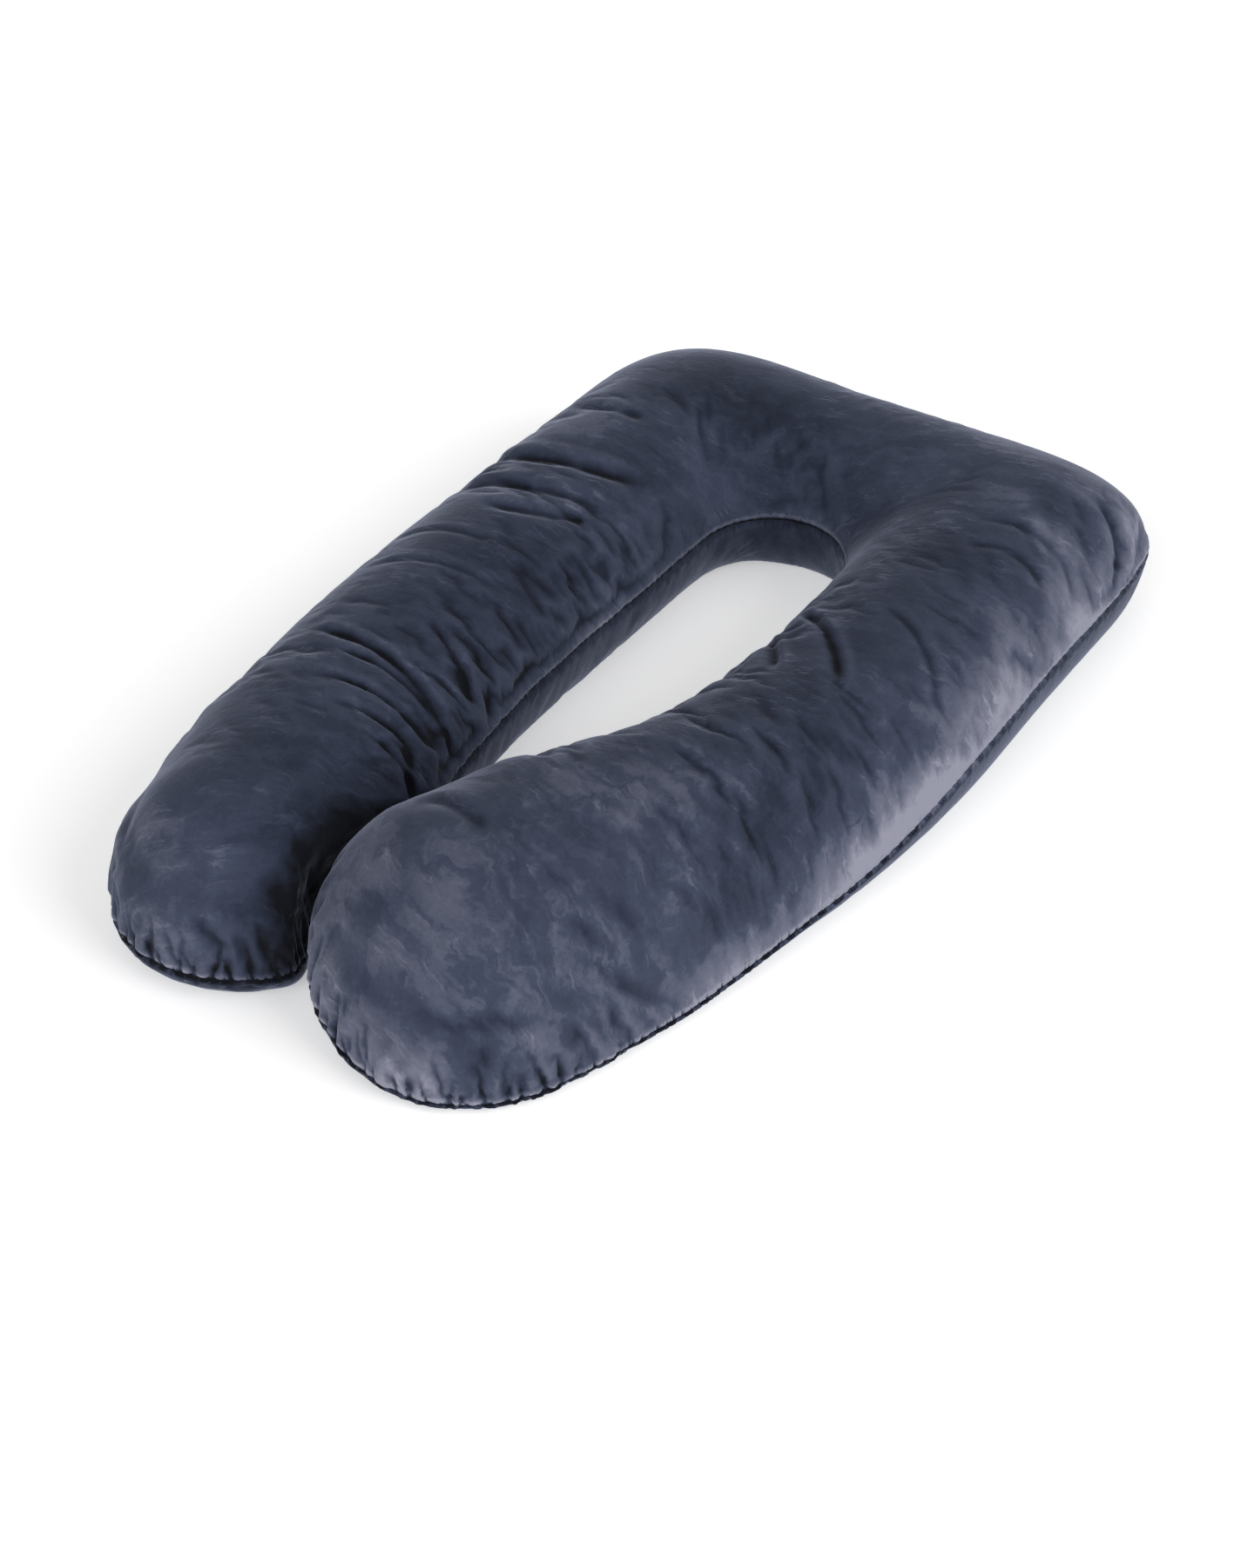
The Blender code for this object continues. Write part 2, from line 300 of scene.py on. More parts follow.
@dataclass(frozen=True)
class Plan:
    """The U as it is cut and filled, before its arms are bent."""

    head_y: float = 0.641
    gap: float = GAP_WIDTH
    gap_end_y: float = 0.40
    gap_end_depth: float = 0.10
    gap_end_power: float = 2.0
    near: Arm = Arm(
        side=Side.NEAR, outer_x=0.386, corner_power=8.7, end_y=-0.636,
        swell=0.20, swell_length=0.36, bend_y=0.20, bend_angle=0.51, bend_length=0.60,
    )
    far: Arm = Arm(
        side=Side.FAR, outer_x=0.380, corner_power=4.7, end_y=-0.612,
        swell=0.12, swell_length=0.26, bend_y=0.06, bend_angle=0.41, bend_length=0.835,
    )

    @property
    def pivot_y(self) -> float:
        """Where the arms end and the rays of the head start to turn."""
        return self.gap_end_y - self.gap_end_depth

    def head_reach(self, angle: np.ndarray) -> tuple[np.ndarray, np.ndarray]:
        """Distances from the pivot to the outer and the inner seam of the head.

        Args:
            angle: Direction from the pivot, 0 toward the near side.

        Returns:
            Outer and inner distance for each angle.
        """
        near = angle < math.pi / 2
        across = np.where(near, self.near.outer_x, self.far.outer_x)
        power = np.where(near, self.near.corner_power, self.far.corner_power)
        cosine = np.maximum(np.abs(np.cos(angle)), 1e-9)
        sine = np.maximum(np.abs(np.sin(angle)), 1e-9)
        along = self.head_y - self.pivot_y
        outer = ((cosine / across) ** power + (sine / along) ** power) ** (-1 / power)
        gap_power = self.gap_end_power
        inner_sum = (cosine / (self.gap / 2)) ** gap_power + (sine / self.gap_end_depth) ** gap_power
        return outer, inner_sum ** (-1 / gap_power)

    def rays(self, points: np.ndarray) -> Rays:
        """Finds the ray that carries each plan point.

        Args:
            points: Plan points, one row each.

        Returns:
            Their rays. A share above 1 is outside the seam.
        """
        x, y = points.T
        near = x > 0
        axis = np.where(near, self.near.axis_x, self.far.axis_x)
        centre_y = np.where(near, self.near.end_centre_y, self.far.end_centre_y)
        radius = np.where(near, self.near.radius(y), self.far.radius(y))
        middle = np.stack([axis, np.maximum(y, centre_y)], 1)
        offset = points - middle
        distance = np.linalg.norm(offset, axis=1)
        aside = np.stack([np.where(offset[:, 0] < 0, -1.0, 1.0), np.zeros(len(x))], 1)
        away = np.where(distance[:, None] > 1e-6, offset / np.maximum(distance, 1e-6)[:, None], aside)

        angle = np.arctan2(y - self.pivot_y, x)
        outer, inner = self.head_reach(angle)
        from_pivot = np.hypot(x, y - self.pivot_y)
        half = (outer + inner) / 2
        ray = np.stack([np.cos(angle), np.sin(angle)], 1)
        outside = np.where(from_pivot > half, 1.0, -1.0)
        in_head = y > self.pivot_y
        middle = np.where(in_head[:, None], (0.0, self.pivot_y) + ray * half[:, None], middle)
        away = np.where(in_head[:, None], ray * outside[:, None], away)
        radius = np.where(in_head, (outer - inner) / 2, radius)
        distance = np.where(in_head, np.abs(from_pivot - half), distance)
        return Rays(middle, middle + away * radius[:, None], distance / radius, near)

    def seam_line(self, step: float) -> np.ndarray:
        """The seam as one closed line of evenly spaced plan points.

        Args:
            step: Wanted distance between points.

        Returns:
            The points, counterclockwise, without a repeated last one.
        """
        fine = 1500
        turn = np.linspace(math.pi, 2 * math.pi, fine)
        head = np.linspace(0, math.pi, 4 * fine)
        outer, inner = self.head_reach(head)
        ray = np.stack([np.cos(head), np.sin(head)], 1)
        pivot = np.array([0.0, self.pivot_y])
        outer_head = pivot + ray * outer[:, None]
        line = np.concatenate([
            outer_head,
            self._side_line(self.far, 1, fine)[::-1],
            self._end_line(self.far, turn),
            self._side_line(self.far, -1, fine),
            (pivot + ray * inner[:, None])[::-1],
            self._side_line(self.near, -1, fine)[::-1],
            self._end_line(self.near, turn),
            self._side_line(self.near, 1, fine),
            outer_head[:1],
        ])
        gone = np.concatenate([[0.0], np.cumsum(np.linalg.norm(np.diff(line, axis=0), axis=1))])
        places = np.linspace(0, gone[-1], int(round(gone[-1] / step)), endpoint=False)
        return np.stack([np.interp(places, gone, line[:, 0]), np.interp(places, gone, line[:, 1])], 1)

    def along_seam(self, points: np.ndarray, wanted: np.ndarray) -> np.ndarray:
        """Distance along the seam of the place on it that is nearest to each plan point.

        Args:
            points: Plan points, one row each.
            wanted: True for each point that needs its distance.

        Returns:
            The distances, and 0 where none is wanted.
        """
        step = 0.002
        seam = self.seam_line(step)
        tree = sorted_places(np.column_stack([seam, np.zeros(len(seam))]))
        along = np.zeros(len(points))
        for i in np.flatnonzero(wanted):
            along[i] = step * tree.find((points[i, 0], points[i, 1], 0.0))[1]
        return along

    def _side_line(self, arm: Arm, outward: int, count: int) -> np.ndarray:
        """Seam along the outer side of an arm, or the inner one at -1, from its round end up to the pivot."""
        y = np.linspace(arm.end_centre_y, self.pivot_y, count)
        return np.stack([arm.axis_x + outward * arm.side.value * arm.radius(y), y], 1)

    @staticmethod
    def _end_line(arm: Arm, turn: np.ndarray) -> np.ndarray:
        """Seam round an arm's end."""
        x = arm.axis_x + arm.end_radius * np.cos(turn)
        return np.stack([x, arm.end_centre_y + arm.end_radius * np.sin(turn)], 1)


@dataclass(frozen=True)
class Section:
    """The cross section that every ray carries, from the middle of a panel out to the seam."""

    height: float = 0.200
    seam_height: float = 0.092
    end_seam_height: float = 0.036
    contact_share: float = 0.70
    crown_width_power: float = 2.3
    crown_height_power: float = 1.7
    usual_reach: float = 0.150
    place_steps: int = 160
    length_steps: int = 60

    def profile(self, panel: Panel, count: int) -> tuple[np.ndarray, np.ndarray, np.ndarray]:
        """A panel's cross section as a line of points.

        Args:
            panel: Which panel.
            count: How many points.

        Returns:
            Share of the cloth's length from the panel's middle, share of the ray, and share of the height.
        """
        turn = np.linspace(0, math.pi / 2, count)
        if panel is Panel.TOP:
            out = np.sin(turn) ** (2 / self.crown_width_power)
            up = np.cos(turn) ** (2 / self.crown_height_power)
            rise = self.height - self.seam_height
        else:
            out = self.contact_share + (1 - self.contact_share) * np.sin(turn)
            up = 1 - np.cos(turn)
            out = np.concatenate([np.linspace(0, self.contact_share, count)[:-1], out])
            up = np.concatenate([np.zeros(count - 1), up])
            rise = self.seam_height
        length = np.hypot(np.diff(out) * self.usual_reach, np.diff(up) * rise)
        gone = np.concatenate([[0.0], np.cumsum(length)])
        return gone / gone[-1], out, up

    def place(self, panel: Panel, share: np.ndarray) -> tuple[np.ndarray, np.ndarray]:
        """Where a share of the cloth's length lies.

        Args:
            panel: Which panel.
            share: Share of the cloth's length from the panel's middle to the seam.

        Returns:
            Share of the ray and share of the height for each.
        """
        gone, out, up = self.profile(panel, self.place_steps)
        return np.interp(share, gone, out), np.interp(share, gone, up)

    def length(self, panel: Panel, reach: np.ndarray, rise: np.ndarray) -> np.ndarray:
        """Cloth from the middle of a panel out to the seam.

        Args:
            panel: Which panel.
            reach: Length of each vertex's ray.
            rise: Height of each vertex's section.

        Returns:
            The length at each vertex.
        """
        _, out, up = self.profile(panel, self.length_steps)
        return np.hypot(np.diff(out) * reach[:, None], np.diff(up) * rise[:, None]).sum(axis=1)


@dataclass
class Cloth:
    """Every vertex of the cover: first the seam, then the inside of the top panel and of the bottom panel."""

    plan: np.ndarray
    panel: np.ndarray
    filled: np.ndarray
    slack: np.ndarray
    from_seam: np.ndarray
    at_end: np.ndarray
    near: np.ndarray
    faces: list[tuple[int, int, int]]
    seam_count: int

    def edges(self) -> np.ndarray:
        """Every edge once, as pairs of vertex indices."""
        faces = np.array(self.faces)
        pairs = np.concatenate([faces[:, [0, 1]], faces[:, [1, 2]], faces[:, [2, 0]]])
        return np.unique(np.sort(pairs, axis=1), axis=0)


@dataclass
class CoverPattern:
    """Lays out the two cut panels as even triangles, and works out where each vertex goes."""

    plan: Plan = field(default_factory=Plan)
    section: Section = field(default_factory=Section)
    seam_step: float = 0.0050
    gather_step: float = 0.0050
    gather_reach: float = 0.050
    top_step: float = 0.0072
    bottom_step: float = 0.0130
    scatter: float = 0.12
    beside_arms: float = 0.10
    clear_of_seam: float = 0.75

    # The near arm's end presses a hollow into the far arm's inner side
    press_clearance: float = 0.004
    press_softness: float = 0.015

    # The near arm's end leans: its inner side rides up and its outer side slopes down
    lean_start_y: float = 0.0
    lean_length: float = 0.45
    lean_rise: float = 0.0105
    lean_slope: float = 0.16
    lean_seam_drop: float = 0.035

    # Down the near arm's outer side the seam sinks toward the floor
    sink_start_y: float = 0.20
    sink_length: float = 0.30
    sink_depth: float = 0.055
    sink_tuck: float = 0.06
    lowest_seam: float = 0.012

    # How far up the arm its end's gathers and the drop of its seam run
    run_up_arm: float = 0.17
    seam_drop_run: float = 0.15

    # How much larger the cover is cut than the space that it fills, as a share of length
    slack_all_over: float = 0.012
    slack_at_ends: float = 0.21
    slack_end_reach: float = 0.090
    bottom_slack: float = 0.12
    loose_places: tuple[Patch, ...] = (
        Patch(x=-0.120, y=-0.20, along=0.170, across=0.050, turn=1.57, amount=0.17),
        Patch(x=-0.130, y=0.10, along=0.130, across=0.050, turn=1.57, amount=0.10),
        Patch(x=0.120, y=0.05, along=0.130, across=0.055, turn=1.57, amount=0.16),
        Patch(x=0.120, y=-0.25, along=0.120, across=0.040, turn=1.57, amount=0.08),
        Patch(x=-0.300, y=0.27, along=0.070, across=0.090, turn=1.57, amount=0.06),
        Patch(x=-0.050, y=0.43, along=0.120, across=0.040, turn=0.00, amount=0.06),
        Patch(x=0.340, y=0.50, along=0.070, across=0.040, turn=2.40, amount=0.09),
        Patch(x=0.300, y=-0.10, along=0.200, across=0.060, turn=1.57, amount=0.03),
        Patch(x=0.240, y=-0.48, along=0.110, across=0.110, turn=0.00, amount=0.03),
        Patch(x=-0.280, y=-0.49, along=0.090, across=0.060, turn=1.20, amount=0.08),
    )

    swells: tuple[Swell, ...] = (
        Swell(x=-0.04, y=0.53, radius=0.16, rise=-0.012),
        Swell(x=0.28, y=0.50, radius=0.12, rise=0.006),
        Swell(x=-0.22, y=0.19, radius=0.09, rise=-0.006),
        Swell(x=-0.16, y=-0.24, radius=0.08, rise=-0.007),
        Swell(x=0.19, y=0.06, radius=0.08, rise=-0.006),
    )

    def swell_rise(self, x: np.ndarray, y: np.ndarray) -> np.ndarray:
        """Height that the broad swells add at a place in the flat plan."""
        rises = (s.rise * np.exp(-((x - s.x) ** 2 + (y - s.y) ** 2) / s.radius**2) for s in self.swells)
        return sum(rises)

    def make(self, rng: np.random.Generator) -> Cloth:
        """Lays out both panels and places their vertices.

        Args:
            rng: Seeded numbers that keep the triangles from lining up.

        Returns:
            The cover's vertices and triangles.
        """
        seam = self.plan.seam_line(self.seam_step)
        count = len(seam)
        coarse = self._inside_points(self.top_step, rng)
        fine = self._inside_points(self.gather_step, rng)
        top = np.concatenate([coarse[~self._is_gathered(coarse)], fine[self._is_gathered(fine)]])
        bottom = self._inside_points(self.bottom_step, rng)
        top_faces = self._triangles(seam, top)
        bottom_faces = self._triangles(seam, bottom)
        shift = len(top)
        faces = [tuple(face) for face in top_faces]
        for a, b, c in bottom_faces:
            moved = (i if i < count else i + shift for i in (c, b, a))
            faces.append(tuple(moved))
        plan = np.concatenate([seam, top, bottom])
        panel = np.concatenate([np.zeros(count, int), np.ones(len(top), int), -np.ones(len(bottom), int)])
        return self._place(plan, panel, faces, count)

    def _inside_points(self, step: float, rng: np.random.Generator) -> np.ndarray:
        """Plan points inside the seam, in a hexagonal pattern that is scattered a little.

        Args:
            step: Distance between points.
            rng: Seeded numbers for the scatter.

        Returns:
            The points, one row each.
        """
        row_step = step * math.sqrt(3) / 2
        rows = np.arange(self.plan.near.end_y - step, self.plan.head_y + step, row_step)
        left = -self.plan.far.outer_x - self.beside_arms
        columns = np.arange(left, self.plan.near.outer_x + self.beside_arms, step)
        x, y = np.meshgrid(columns, rows)
        x[1::2] += step / 2
        points = np.stack([x.ravel(), y.ravel()], 1)
        points = points + rng.uniform(-self.scatter, self.scatter, points.shape) * step
        rays = self.plan.rays(points)
        clear = (1 - rays.share) * rays.reach
        return points[clear > self.clear_of_seam * min(step, self.top_step)]

    def at_end(self, rays: Rays) -> np.ndarray:
        """How much each ray belongs to an arm's gathered end, from 0 to 1."""
        return smooth(1 - self._up_arm(rays) / self.run_up_arm)

    def _up_arm(self, rays: Rays) -> np.ndarray:
        """How far above the round end each ray meets the seam."""
        centre_y = np.where(rays.near, self.plan.near.end_centre_y, self.plan.far.end_centre_y)
        return np.maximum(0.0, rays.seam[:, 1] - centre_y)

    def _is_gathered(self, points: np.ndarray) -> np.ndarray:
        """True for plan points close to the seam round an arm's end."""
        rays = self.plan.rays(points)
        return ((1 - rays.share) * rays.reach < self.gather_reach) & (self._up_arm(rays) < self.gather_reach)

    @staticmethod
    def _triangles(seam: np.ndarray, inside: np.ndarray) -> list[list[int]]:
        """Fills the seam line with triangles.

        Args:
            seam: The seam's points, in order.
            inside: The points inside it.

        Returns:
            Three vertex indices for each triangle, seam first.
        """
        only_inside, tolerance = 1, 1e-7
        places = [Vector(point) for point in np.concatenate([seam, inside])]
        loop = list(range(len(seam)))
        _, _, faces, origin, _, _ = delaunay_2d_cdt(places, [], [loop], only_inside, tolerance)
        return [[origin[i][0] for i in face] for face in faces]

    def _place(self, plan: np.ndarray, panel: np.ndarray, faces: list, count: int) -> Cloth:
        """Places every vertex as filled, and works out how loose the cover is there.

        Args:
            plan: Place of each vertex in the flat plan.
            panel: 0 on the seam, 1 on the top panel, -1 on the bottom panel.
            faces: The triangles.
            count: How many vertices the seam has.

        Returns:
            The cover.
        """
        rays = self.plan.rays(plan)
        share = np.where(panel == 0, 1.0, np.minimum(rays.share, 1.0))
        away = rays.away
        is_top = panel >= 0
        at_end = self.at_end(rays)
        drop = smooth(1 - self._up_arm(rays) / self.seam_drop_run)
        seam_height, end_seam_height = self.section.seam_height, self.section.end_seam_height
        level_seam = seam_height + (end_seam_height - seam_height) * drop
        lean = smooth((self.lean_start_y - rays.seam[:, 1]) / self.lean_length) * rays.near
        sink = rays.near * np.maximum(away[:, 0], 0.0) * (1 - drop)
        sink *= smooth((self.sink_start_y - rays.seam[:, 1]) / self.sink_length)
        reach = rays.reach * (1 - self.sink_tuck * sink)
        seam_z = level_seam - self.lean_seam_drop * lean * away[:, 0] - self.sink_depth * sink
        seam_z = np.maximum(seam_z, self.lowest_seam)

        top_out, top_up = self.section.place(Panel.TOP, share)
        bottom_out, bottom_up = self.section.place(Panel.BOTTOM, share)
        out = np.where(is_top, top_out, bottom_out)
        x, y = (rays.middle + away * (reach * out)[:, None]).T
        crown = self.section.height + self.swell_rise(x, y) - seam_z
        z = np.where(is_top, seam_z + top_up * crown, seam_z * bottom_up)
        leaned = self.lean_rise - self.lean_slope * (x - rays.middle[:, 0])
        z = z + np.where(is_top, lean * top_up * leaned, 0.0)
        filled_x, filled_y = self._bend(x, y, rays.near)
        pressed_x, pressed_y = self._press_aside(filled_x, filled_y)
        filled_x = np.where(rays.near, filled_x, pressed_x)
        filled_y = np.where(rays.near, filled_y, pressed_y)
        filled = np.stack([filled_x, filled_y, z], 1)

        top_length = self.section.length(Panel.TOP, reach, crown)
        bottom_length = self.section.length(Panel.BOTTOM, reach, seam_z)
        from_seam = (1 - share) * np.where(is_top, top_length, -bottom_length)
        from_seam[panel == 0] = 0.0
        gathered = at_end * smooth(1 - np.abs(from_seam) / self.slack_end_reach)
        slack = self.slack_all_over + self.slack_at_ends * gathered + patch_sum(self.loose_places, *plan.T)
        slack = np.where(panel < 0, self.bottom_slack * slack, slack)
        return Cloth(plan, panel, filled, slack, from_seam, at_end, rays.near, faces, count)

    def _bend(self, x: np.ndarray, y: np.ndarray, near: np.ndarray) -> tuple[np.ndarray, np.ndarray]:
        """Bends each point with its own arm.

        Args:
            x: Plan x of each point.
            y: Plan y of each point.
            near: True for the near arm's points.

        Returns:
            The x and y of the bent points.
        """
        near_x, near_y = self.plan.near.bend(x, y)
        far_x, far_y = self.plan.far.bend(x, y)
        return np.where(near, near_x, far_x), np.where(near, near_y, far_y)

    def _press_aside(self, x: np.ndarray, y: np.ndarray) -> tuple[np.ndarray, np.ndarray]:
        """Moves points out past the near arm's end, and eases their neighbours aside.

        Args:
            x: Bent x of each point.
            y: Bent y of each point.

        Returns:
            The x and y that the far arm's points get.
        """
        end = self.plan.near
        centre_x, centre_y = end.bend(np.array(end.axis_x), np.array(end.end_centre_y))
        away_x, away_y = x - centre_x, y - centre_y
        distance = np.hypot(away_x, away_y)
        radius = end.end_radius + self.press_clearance
        past = np.logaddexp(0.0, (distance - radius) / self.press_softness) * self.press_softness + radius
        return centre_x + away_x * past / distance, centre_y + away_y * past / distance


@dataclass(frozen=True)
class Gathers:
    """The uneven pinches that the arm ends are gathered into at the seam."""

    pitch: float = 0.021
    scatter: float = 0.32
    slant: float = 0.40
    seed: int = 5
    first_width: float = 0.0065
    first_depth: float = 0.0040
    first_reach: float = 0.065
    width: float = 0.0025
    depth: float = 0.0042
    reach: float = 0.044
    off_seam: float = 0.004
    along_sides: float = 0.06
    shortest: float = 0.55
    weakest: float = 0.45
    off_floor: float = 0.001

    def pinch(self, along: np.ndarray, from_seam: np.ndarray, width: float, reach: float) -> np.ndarray:
        """How strongly each vertex is pinched in, from 0 to 1.

        Args:
            along: Distance of each vertex along the seam.
            from_seam: Cloth between each vertex and the seam.
            width: Half the width of a pinch.
            reach: How far the longest pinches run into the panel.

        Returns:
            The pinch at each vertex.
        """
        count = int(along.max() / self.pitch) + 3
        rng = np.random.default_rng(self.seed)
        centres = self.pitch * (np.arange(count) + self.scatter * rng.uniform(-1, 1, count))
        slants = self.slant * rng.uniform(-1, 1, count)
        reaches = reach * rng.uniform(self.shortest, 1.0, count)
        strengths = rng.uniform(self.weakest, 1.0, count)
        away = np.abs(from_seam)
        nearest = np.clip(np.round(along / self.pitch).astype(int), 1, count - 2)
        total = np.zeros_like(along)
        for i in (nearest - 1, nearest, nearest + 1):
            off = along - centres[i] - slants[i] * away
            fade = smooth(1 - away / reaches[i]) * smooth(away / self.off_seam)
            total = np.maximum(total, strengths[i] * fade * np.exp(-((off / width) ** 2)))
        return total

    def press(self, cloth: Cloth, normals: np.ndarray, plan: Plan) -> np.ndarray:
        """Presses the first wide pinches into the filled cover, for the simulation to fold.

        Args:
            cloth: The cover's vertices.
            normals: Outward direction at each vertex.
            plan: The plan that the seam follows.

        Returns:
            The places of all vertices.
        """
        loose = (np.abs(cloth.from_seam) < self.first_reach) & (cloth.at_end > 0) & (cloth.panel != 0)
        loose &= cloth.filled[:, 2] > self.off_floor
        along = plan.along_seam(cloth.plan, loose)
        depth = self.first_depth * self.pinch(along, cloth.from_seam, self.first_width, self.first_reach)
        return cloth.filled - normals * (depth * loose * cloth.at_end)[:, None]


@dataclass
class Filling:
    """Fills the cover: cloth simulation swells the cut panels until the seam and the floor hold them."""

    pressure: float = 4.0
    frames: int = 24
    stiffness: float = 12.0
    bending: float = 0.20
    damping: float = 5.0
    air_damping: float = 1.5
    vertex_mass: float = 0.10
    quality: int = 6
    most_slack: float = 0.24
    shape_rounds: int = 26
    shape_share: float = 0.22
    fold_share: float = 0.90
    most_move: float = 0.012
    arm_room: float = 0.45
    least_gap: float = 0.002
    most_gap: float = 0.200
    on_floor: float = 0.0005

    def fill(self, cover: bpy.types.Object, cloth: Cloth) -> np.ndarray:
        """Runs the simulation.

        Args:
            cover: The cover's object, at its filled places.
            cloth: The cover's vertices.

        Returns:
            The place of every vertex after the simulation, capped and kept off the floor and the other arm.
        """
        held = self._held(cloth)
        cover.vertex_groups.new(name="held").add([int(i) for i in np.flatnonzero(held)], 1.0, "REPLACE")
        taut = cover.vertex_groups.new(name="taut")
        for i, slack in enumerate(np.minimum(cloth.slack, self.most_slack)):
            taut.add([i], float(1 - slack / self.most_slack), "REPLACE")
        modifier = cover.modifiers.new("Cloth", "CLOTH")
        for name, value in self._settings().items():
            setattr(modifier.settings, name, value)
        modifier.settings.effector_weights.gravity = 0.0
        modifier.collision_settings.use_collision = False
        modifier.point_cache.frame_start = 1
        modifier.point_cache.frame_end = self.frames
        scene = bpy.context.scene
        for frame_number in range(1, self.frames + 1):
            scene.frame_set(frame_number)
        graph = bpy.context.evaluated_depsgraph_get()
        result = bpy.data.meshes.new_from_object(cover.evaluated_get(graph))
        places = read_vectors(result.vertices, "co")
        bpy.data.meshes.remove(result)
        scene.frame_set(1)
        cover.modifiers.remove(modifier)
        cover.vertex_groups.clear()
        return self._settle(places, cloth, held)

    def _settings(self) -> dict[str, object]:
        """How the cloth resists, what is held, and how far it may shrink or slacken.

        Returns:
            The cloth modifier's settings, by name.
        """
        return {
            "quality": self.quality,
            "mass": self.vertex_mass,
            "air_damping": self.air_damping,
            "tension_stiffness": self.stiffness,
            "compression_stiffness": self.stiffness,
            "shear_stiffness": self.stiffness / 3,
            "bending_stiffness": self.bending,
            "tension_damping": self.damping,
            "compression_damping": self.damping,
            "shear_damping": self.damping,
            "bending_damping": self.bending,
            "use_pressure": True,
            "uniform_pressure_force": self.pressure,
            "vertex_group_mass": "held",
            "pin_stiffness": 1.0,
            "vertex_group_shrink": "taut",
            "shrink_min": -self.most_slack,
            "shrink_max": 0.0,
        }

    def _held(self, cloth: Cloth) -> np.ndarray:
        """True for the seam and for what lies flat on the floor."""
        return (cloth.panel == 0) | (cloth.filled[:, 2] < self.on_floor)

    def _settle(self, places: np.ndarray, cloth: Cloth, held: np.ndarray) -> np.ndarray:
        """Keeps the folds, and part of the change of broad shape, within each vertex's room to move.

        Args:
            places: Where the simulation left each vertex.
            cloth: The cover's vertices.
            held: True for each vertex that stayed in place.

        Returns:
            The place of every vertex.
        """
        move = places - cloth.filled
        broad = neighbour_mean(move, cloth.edges(), held, self.shape_rounds)
        largest = [1000 * np.abs(part).max() for part in (broad, move - broad)]
        LOG.info("broad move %.1f mm, folds %.1f mm", *largest)
        move = self.shape_share * broad + self.fold_share * (move - broad)
        room = np.minimum(self.most_move, self.arm_room * self._between_arms(cloth))
        size = np.linalg.norm(move, axis=1)
        move = move * (room * np.tanh(size / room) / np.maximum(size, 1e-9))[:, None]
        places = cloth.filled + move
        places[:, 2] = np.maximum(places[:, 2], 0.0)
        return places

    def _between_arms(self, cloth: Cloth) -> np.ndarray:
        """Distance from each vertex to the other arm, where the two lie close.

        Args:
            cloth: The cover's vertices.

        Returns:
            The distances, and the most one where the other arm is far off.
        """
        distance = np.full(len(cloth.filled), self.most_gap)
        in_arms = cloth.plan[:, 1] < 0
        for near in (True, False):
            tree = sorted_places(cloth.filled[(cloth.near != near) & in_arms])
            for i in np.flatnonzero((cloth.near == near) & in_arms):
                distance[i] = min(self.most_gap, tree.find(cloth.filled[i])[2])
        return np.maximum(distance, self.least_gap)


